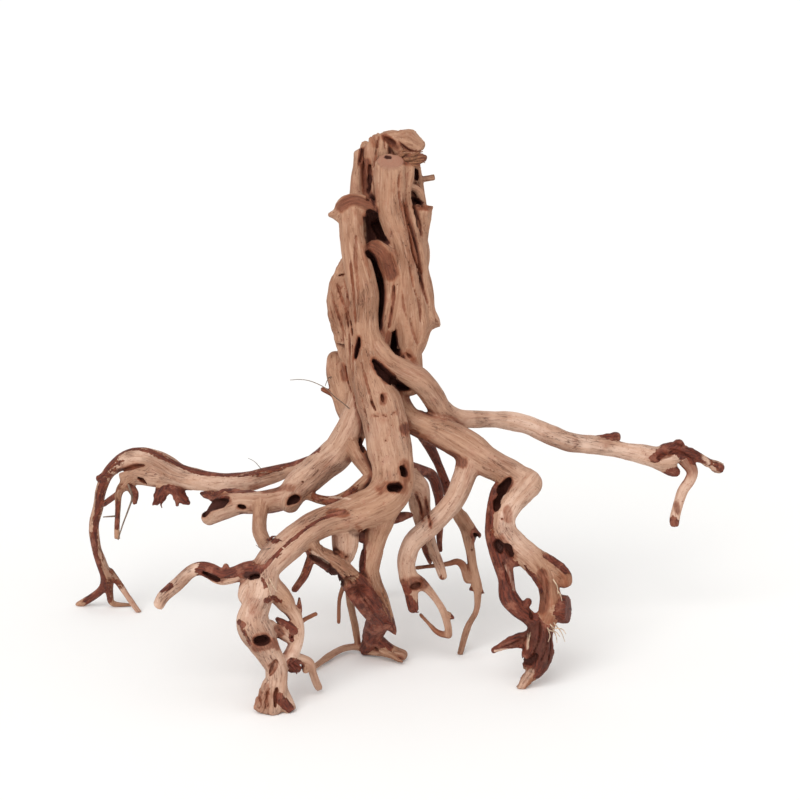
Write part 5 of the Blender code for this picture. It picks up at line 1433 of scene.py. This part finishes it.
class Wire:  # a shader socket: sums and products of wires add Math nodes
    def __init__(self, tree, socket=None):
        self.tree = tree
        self.socket = socket

    def node(self, kind, settings=None, values=None, output=0):
        made = self.tree.nodes.new(kind)
        for name, value in (settings or {}).items():
            if name == "stops":
                while len(made.color_ramp.elements) < len(value):
                    made.color_ramp.elements.new(0.5)
                for element, (position, colour) in zip(made.color_ramp.elements, value):
                    element.position = position
                    element.color = colour
            else:
                setattr(made, name, value)
        for name, value in (values or {}).items():
            if isinstance(value, Wire):
                self.tree.links.new(value.socket, made.inputs[name])
            else:
                made.inputs[name].default_value = value
        return Wire(self.tree, made.outputs[output]) if len(made.outputs) else None

    def math(self, operation, first, second):
        return self.node("ShaderNodeMath", {"operation": operation}, {0: first, 1: second})

    def __add__(self, other):
        return self.math("ADD", self, other)

    def __radd__(self, other):
        return self.math("ADD", other, self)

    def __sub__(self, other):
        return self.math("SUBTRACT", self, other)

    def __rsub__(self, other):
        return self.math("SUBTRACT", other, self)

    def __mul__(self, other):
        return self.math("MULTIPLY", self, other)

    def __rmul__(self, other):
        return self.math("MULTIPLY", other, self)

    def noise(self, where, scale, detail=2.0, rough=0.5, warp=0.0):
        return self.node("ShaderNodeTexNoise", {"noise_dimensions": "3D"},
                         {"Vector": where, "Scale": scale, "Detail": detail, "Roughness": rough,
                          "Distortion": warp})

    def step(self, value, low, high):  # 0 below low, 1 above high, smooth between them
        return self.node("ShaderNodeMapRange", {"interpolation_type": "SMOOTHSTEP", "clamp": True},
                         {"Value": value, "From Min": low, "From Max": high, "To Min": 0.0, "To Max": 1.0})

    def paint(self, amount, under, over):  # one colour laid over another
        return self.node("ShaderNodeMix", {"data_type": "RGBA", "clamp_factor": True},
                         {0: amount, 6: under, 7: over}, output=2)

    def mark(self, name, output="Fac"):
        return self.node("ShaderNodeAttribute", {"attribute_name": name}, output=output)

    def surface(self, values):
        shader = self.node("ShaderNodeBsdfPrincipled", {}, values)
        self.node("ShaderNodeOutputMaterial", {}, {"Surface": shader})


def newFinish(name):  # an empty material, and what adds its nodes
    finish = bpy.data.materials.new(name)
    finish.use_nodes = True
    finish.node_tree.nodes.clear()
    return finish, Wire(finish.node_tree)


woodLook = {
    "light": linear(181, 139, 112),
    "middle": linear(155, 112, 87),
    "deep": linear(126, 83, 60),
    "pale": linear(202, 166, 144),
    "paleWood": linear(200, 160, 136),
    "palest": linear(218, 186, 166),
    "rosy": linear(158, 103, 81),
    # reddish-brown of real stains and specks, also used for painted shade in recesses
    "stain": linear(122, 62, 40),
    "stainDeep": linear(80, 35, 22),
    # painted shade: the colour that deep recesses and the dark marks are painted
    "hollow": linear(66, 27, 16),
    "bark": linear(116, 54, 36),
    "barkLight": linear(158, 98, 76),
    "barkDark": linear(60, 23, 16),
    "edge": linear(166, 92, 52),
    "cut": linear(158, 114, 94),
    "roughness": 0.78,
    "barkRoughness": 0.6,
    "specular": 0.3,
}


def makeWoodFinish():
    finish, make = newFinish("bareRootWood")
    look = woodLook
    spot = make.node("ShaderNodeTexCoord", output="Object")
    grainSpot = make.mark("grain", "Vector")
    broad = make.noise(spot, 42.0, 3.0, 0.55)
    blotch = make.noise(spot, 160.0, 3.0, 0.6)
    rough = make.noise(spot, 520.0, 3.0, 0.65)
    speck = make.noise(spot, 900.0, 1.0, 0.5)
    streak = make.noise(grainSpot, 0.36, 3.0, 0.6, 0.4)
    fine = make.noise(grainSpot, 1.2, 3.0, 0.7, 0.25)
    fibre = make.noise(grainSpot, 2.8, 2.0, 0.6)
    check = make.noise(grainSpot, 0.62, 2.0, 0.55, 0.3)
    hollow = make.mark("hollow")
    crack = make.step(make.math("ABSOLUTE", check - 0.5, 0.0), 0.012, 0.003) * make.step(broad, 0.5, 0.6)
    colour = make.paint(make.step(streak, 0.32, 0.68), look["middle"], look["light"])
    tone = make.mark("tone")
    paleColour = make.paint(make.step(streak, 0.3, 0.66), look["paleWood"], look["palest"])
    paleShare = tone + 0.35 * (blotch - 0.5) + 0.3 * (broad - 0.5)
    colour = make.paint(make.step(paleShare, 0.1, 0.95), colour, paleColour)
    colour = make.paint(make.step(broad, 0.48, 0.68) * 0.55, colour, look["deep"])
    colour = make.paint(make.step(blotch, 0.5, 0.72) * 0.4, colour, look["rosy"])
    colour = make.paint(make.step(fine, 0.54, 0.68) * 0.6, colour, look["deep"])
    colour = make.paint(make.step(fine, 0.46, 0.32) * 0.4, colour, look["pale"])
    colour = make.paint(make.step(rough, 0.6, 0.7) * 0.45, colour, look["rosy"])
    colour = make.paint(make.step(speck, 0.7, 0.78) * 0.7, colour, look["stain"])
    # painted light: points that are open all round are made paler
    colour = make.paint(make.step(hollow, -0.05, -0.5) * 0.3, colour, look["pale"])
    # recesses are tinted reddish-brown: partly the wood's own darker crevices, partly painted shade
    colour = make.paint(make.step(hollow + 0.4 * (blotch - 0.5), 0.08, 0.5) * 0.7, colour, look["stain"])
    # painted shade: the deepest recesses are painted near black-brown
    colour = make.paint(make.step(hollow, 0.45, 0.85) * 0.85, colour, look["hollow"])
    colour = make.paint(crack * 0.75, colour, look["stainDeep"])
    # The stain layer holds real stains and also painted shade, where a part lies in shadow or a hole goes
    # deep.
    stain = make.mark("stain")
    stainedAndShaded = make.step(stain + 0.9 * (streak - 0.5) + 0.6 * (blotch - 0.5), 0.1, 0.8)
    stainAndShadeColour = make.paint(make.step(fine, 0.35, 0.65), look["stain"], look["stainDeep"])
    stainAndShadeColour = make.paint(make.step(stain, 0.9, 0.3) * 0.5, stainAndShadeColour, look["edge"])
    colour = make.paint(stainedAndShaded * 0.85 * make.step(stain, 0.02, 0.2), colour, stainAndShadeColour)
    cut = make.mark("cut")
    ring = make.node("ShaderNodeMath", {"operation": "SINE"}, {0: make.mark("ring") * 5.5 + blotch * 5.0})
    cutColour = make.paint(make.step(ring, -0.8, 0.9) * 0.5, look["cut"], look["rosy"])
    colour = make.paint(cut * 0.9, colour, cutColour)
    bark = make.mark("bark")
    barkShare = (bark + 0.6 * (blotch - 0.5) + 0.7 * (streak - 0.5) + 0.5 * (rough - 0.5)
                 + 0.5 * (fine - 0.5))
    barked = make.step(barkShare, 0.46, 0.52) * make.step(bark, 0.08, 0.3)
    barkColour = make.paint(make.step(fine, 0.38, 0.66), look["bark"], look["barkDark"])
    barkPatch = make.step(blotch + 0.5 * (fine - 0.5), 0.5, 0.66) * 0.65
    barkColour = make.paint(barkPatch, barkColour, look["barkLight"])
    barkColour = make.paint(make.step(rough, 0.56, 0.7) * 0.6, barkColour, look["barkDark"])
    barkColour = make.paint(make.step(barkShare, 0.62, 0.48) * 0.6, barkColour, look["edge"])
    colour = make.paint(barked, colour, barkColour)
    pale = make.mark("pale")
    colour = make.paint(make.step(pale + 0.5 * (fine - 0.5), 0.25, 0.65), colour, look["pale"])
    # painted shade: the dark marks paint the shade of hollows, gaps and set-back parts
    soot = make.mark("soot")
    colour = make.paint(make.step(soot + 0.5 * (blotch - 0.5), 0.15, 0.75), colour, look["hollow"])
    smoother = look["roughness"] - look["barkRoughness"]
    roughness = look["roughness"] - barked * smoother + 0.1 * (fine - 0.5)
    height = fine * 0.0005 + streak * 0.0006 + fibre * 0.00018 + blotch * 0.0004 + rough * 0.00016
    height = height * (1 - 0.8 * cut) - crack * 0.0004 - make.step(speck, 0.7, 0.78) * 0.0003
    height = height + make.step(barkShare, 0.42, 0.58) * barked * 0.00045 + barked * rough * 0.0006
    bump = make.node("ShaderNodeBump", {}, {"Height": height, "Strength": 0.85, "Distance": 1.0})
    make.surface({"Base Color": colour, "Roughness": roughness, "Specular IOR Level": look["specular"],
                  "Normal": bump})
    return finish


woodFinish = makeWoodFinish()
woodMesh = meshFrom("rootWood", woodPoints * 0.001, woodFaces)
for name, values in marks.items():
    layer = woodMesh.attributes.new(name, "FLOAT", "POINT")
    layer.data.foreach_set("value", np.asarray(values, np.float32))
layer = woodMesh.attributes.new("grain", "FLOAT_VECTOR", "CORNER")
layer.data.foreach_set("vector", np.asarray(grain, np.float32).ravel())
rootWood = pieceFrom("rootWood", woodMesh, woodFinish)
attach(rootWood, "root")
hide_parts("root_wood")
print("root wood made")



# Root hairs, splinters and loose fibres too thin for the wood's mesh: pixels of the photo along
# each, its thickness in millimetres at its start and end, and how far it drifts towards the viewer.
# Each starts inside the wood at its first pixel.
threads = {
    "rootHairs": ("hair", [
        ([(351, 410), (344, 404), (335, 397), (329, 391), (322, 386), (310, 381), (300, 379.5),
            (290, 380)], 0.62, 0.3, 2),
        ([(331, 424), (322, 417), (315, 412), (310, 408)], 0.5, 0.26, 3),
        ([(333, 377), (329, 377.5), (327, 381), (325, 386)], 0.6, 0.3, 2),
        ([(333, 351), (329, 350), (325, 351)], 0.4, 0.2, 1),
        ([(352, 466), (349, 470), (346, 468), (343, 472)], 0.5, 0.2, 3),
        ([(352, 466), (350, 472), (351, 477)], 0.4, 0.2, 2),
        ([(413, 444), (417, 447), (416, 452), (420, 455)], 0.45, 0.2, 3),
        ([(447, 454), (452, 458), (453, 464), (458, 466)], 0.45, 0.2, 3),
        ([(433, 467), (438, 470), (440, 476)], 0.4, 0.2, 2),
        ([(128, 483), (132, 497), (129, 508), (123, 524), (118, 540)], 1.3, 0.6, 2),
        ([(117, 516), (110, 516.5), (103, 517)], 1.1, 0.6, 1),
        ([(300, 560), (296, 566), (293, 574)], 0.6, 0.22, 2),
        ([(304, 562), (299, 569), (295, 571)], 0.5, 0.22, 2),
        ([(262, 470), (255, 462), (248, 458)], 0.4, 0.2, 1),
        ([(410, 430), (404, 441), (407, 450)], 0.4, 0.2, 3),
        ([(272, 548), (262, 549), (256, 545)], 0.5, 0.25, 2),
    ]),
    "crownSplinters": ("splinter", [
        ([(404, 158), (412, 156), (419, 152.5), (423, 151.5)], 2.6, 0.4, 1),
        ([(404, 160), (414, 158.5), (421, 156.5), (426, 157)], 2.8, 0.3, 2),
        ([(406, 161), (415, 160.5), (424, 159.5)], 2.6, 0.3, 2.5),
        ([(405, 163), (414, 162.5), (422, 162), (425.5, 163)], 2.2, 0.25, 2),
        ([(398, 154), (403, 151), (408, 150.5)], 1.8, 0.3, 2),
        ([(400, 157), (406, 153.5), (411, 153)], 1.8, 0.3, 2),
        ([(410, 165), (416, 165.5), (421, 168)], 1.6, 0.25, 1),
        ([(382, 588), (386, 600), (390, 612), (392, 622)], 1.3, 0.4, 1),
        ([(380, 596), (383, 606), (388, 616)], 1.0, 0.4, 1),
    ]),
    "paleFibres": ("fibre", [
        ([(545, 624), (549, 630), (556, 632), (560, 637)], 0.9, 0.25, 3),
        ([(548, 622), (554, 628), (562, 629), (566, 634)], 0.9, 0.25, 3),
        ([(551, 624), (556, 636), (557, 643)], 0.7, 0.25, 2),
        ([(553, 622), (561, 632), (565, 642)], 0.7, 0.22, 3),
        ([(546, 626), (550, 635), (548, 642)], 0.7, 0.25, 2),
        ([(556, 590), (560, 594), (562, 601)], 0.9, 0.3, 2),
        ([(552, 578), (557, 586), (558, 594)], 0.9, 0.3, 2),
        ([(531, 632), (529, 640), (528.5, 648)], 0.7, 0.3, 1),
        ([(262, 577), (268, 585), (271, 596)], 0.9, 0.3, 1),
        ([(267, 574), (272, 584), (277, 592)], 0.9, 0.3, 1),
    ]),
    "barkFlakes": ("flake", [
        ([(270, 541), (272, 537), (276, 536)], 2.0, 0.4, 1),
        ([(276, 543), (279, 540), (282, 541)], 1.6, 0.4, 1),
        ([(158, 497), (155, 501), (153, 503)], 1.8, 0.4, 1),
        ([(164, 499), (161, 504), (162, 508)], 1.8, 0.4, 1),
        ([(184, 498), (187, 502), (190, 503)], 1.6, 0.4, 1),
        ([(288, 662), (294, 668), (297, 674)], 2.4, 0.5, 2),
        ([(292, 662), (299, 666), (302, 668)], 2.2, 0.5, 2),
        ([(388, 636), (393, 640), (396, 646)], 2.2, 0.4, 1),
        ([(384, 622), (391, 624), (394, 630)], 2.0, 0.4, 1),
        ([(404, 604), (401, 608), (399, 613)], 1.8, 0.4, 1),
        ([(413, 608), (416, 612), (419, 612)], 1.8, 0.4, 1),
        ([(283, 626), (279, 620), (277, 617)], 1.8, 0.4, 1),
        ([(559, 566), (564, 571), (568, 572)], 2.0, 0.4, 1),
        ([(548, 556), (553, 561), (558, 562)], 1.8, 0.4, 1),
    ]),
}
threadStep = 1.6  # pixels between the rings of a thread
threadRoot = 0.8  # how deep it starts inside the wood
threadLook = {  # colour, sides and how flat
    "hair": (linear(130, 108, 92), 5, 1.0),
    "splinter": (linear(146, 98, 70), 4, 0.45),
    "fibre": (linear(216, 186, 158), 4, 0.7),
    "flake": (linear(104, 48, 34), 4, 0.4),
}


def threadRows(path, thick, thin, drift):
    start = firstHit(*path[0])
    if start is None:
        print("nothing to grow from at", path[0])
        return None
    depth = (start - eye) @ awayWay
    rows = curveThrough(np.array([(x, y, 0.0) for x, y in path]), threadStep)
    share = np.linspace(0, 1, len(rows))
    spots = []
    for (x, y, _), part in zip(rows, share):
        way = sightLine(x, y)
        spots.append(eye + way * ((depth + threadRoot * (1 - part) - drift * part) / (way @ awayWay)))
    return np.array(spots), (thick + (thin - thick) * share) / 2


def threadMesh(name, items, sides, flatness):
    points, faces = [], []
    for item in items:
        grown = threadRows(*item)
        if grown is None:
            continue
        spots, radii = grown
        tangents, across, beside = frameAlong(spots)
        turn = np.arange(sides) * 2 * math.pi / sides
        ring = (np.cos(turn)[None, :, None] * across[:, None] * flatness
                + np.sin(turn)[None, :, None] * beside[:, None]) * radii[:, None, None]
        first = len(points)
        points.extend((spots[:, None] + ring).reshape(-1, 3))
        for row in range(len(spots) - 1):
            for side in range(sides):
                one = first + row * sides + side
                two = first + row * sides + (side + 1) % sides
                faces.append((one, two, two + sides))
                faces.append((one, two + sides, one + sides))
        last = first + (len(spots) - 1) * sides
        for side in range(1, sides - 1):
            faces.append((first, first + side + 1, first + side))
            faces.append((last, last + side, last + side + 1))
    return meshFrom(name, np.array(points) * 0.001, np.array(faces))


def makeThreadFinish(name, colour):
    finish, make = newFinish(name)
    spot = make.node("ShaderNodeTexCoord", output="Object")
    shade = make.step(make.noise(spot, 700.0, 2.0, 0.6), 0.35, 0.7)
    darker = tuple(value * 0.5 for value in colour[:3]) + (1.0,)
    paint = make.paint(shade, colour, darker)
    make.surface({"Base Color": paint, "Roughness": 0.75, "Specular IOR Level": 0.3})
    return finish


for name, (look, items) in threads.items():
    colour, sides, flatness = threadLook[look]
    piece = pieceFrom(name, threadMesh(name, items, sides, flatness), makeThreadFinish(name, colour))
    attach(piece, "root")
print("hairs and splinters made")

studio = {
    "floor": linear(250, 249, 247), "floorPatch": linear(244, 243, 241),
    "floorSize": 14.0,
    "keyPower": 1.75, "keySpread": 45.0, "keyPlace": (-0.6, -1.3, 1.5),
    "fillPower": 0.55, "fillSpread": 80.0, "fillPlace": (1.4, -1.4, 0.8),
    "worldStrength": 0.66,
    "lens": 108.0, "sensor": 36.0, "clipEnd": 50,
}


def makeFloor():
    finish, make = newFinish("paleFloor")
    spot = make.node("ShaderNodeTexCoord", output="Object")
    colour = make.paint(make.noise(spot, 3.0) * 0.1, studio["floor"], studio["floorPatch"])
    make.surface({"Base Color": colour, "Roughness": 0.9})
    half = studio["floorSize"] / 2
    mesh = bpy.data.meshes.new("floor")
    mesh.from_pydata([(-half, -half, 0), (half, -half, 0), (half, half, 0), (-half, half, 0)], [],
                     [(0, 1, 2, 3)])
    mesh.materials.append(finish)
    floor = bpy.data.objects.new("floor", mesh)
    bpy.context.collection.objects.link(floor)
    return floor


def softLight(name, power, spread, position, target):
    lamp = bpy.data.lights.new(name, "SUN")
    lamp.angle = math.radians(spread)
    lamp.energy = power
    light = bpy.data.objects.new(name, lamp)
    light.location = position
    light.rotation_euler = (Vector(target) - Vector(position)).to_track_quat("-Z", "Y").to_euler()
    bpy.context.collection.objects.link(light)


makeFloor()
middle = tuple(view["lookAt"] * 0.001)
softLight("keyLight", studio["keyPower"], studio["keySpread"], studio["keyPlace"], middle)
softLight("fillLight", studio["fillPower"], studio["fillSpread"], studio["fillPlace"], middle)
world = bpy.data.worlds.new("studio")
world.use_nodes = True
world.node_tree.nodes["Background"].inputs["Color"].default_value = (1, 1, 1, 1)
world.node_tree.nodes["Background"].inputs["Strength"].default_value = studio["worldStrength"]
bpy.context.scene.world = world
bpy.context.scene.view_settings.view_transform = "Standard"

lens = bpy.data.cameras.new("photoCamera")
lens.lens = studio["lens"]
lens.sensor_width = studio["sensor"]
lens.clip_end = studio["clipEnd"]
camera = bpy.data.objects.new("photoCamera", lens)
camera.matrix_world = Matrix([
    (*np.column_stack([rightWay, upWay, -awayWay])[row], eye[row] * 0.001) for row in range(3)
] + [(0, 0, 0, 1)])
bpy.context.collection.objects.link(camera)
bpy.context.scene.camera = camera
print("camera and lights set")

bpy.context.view_layer.update()
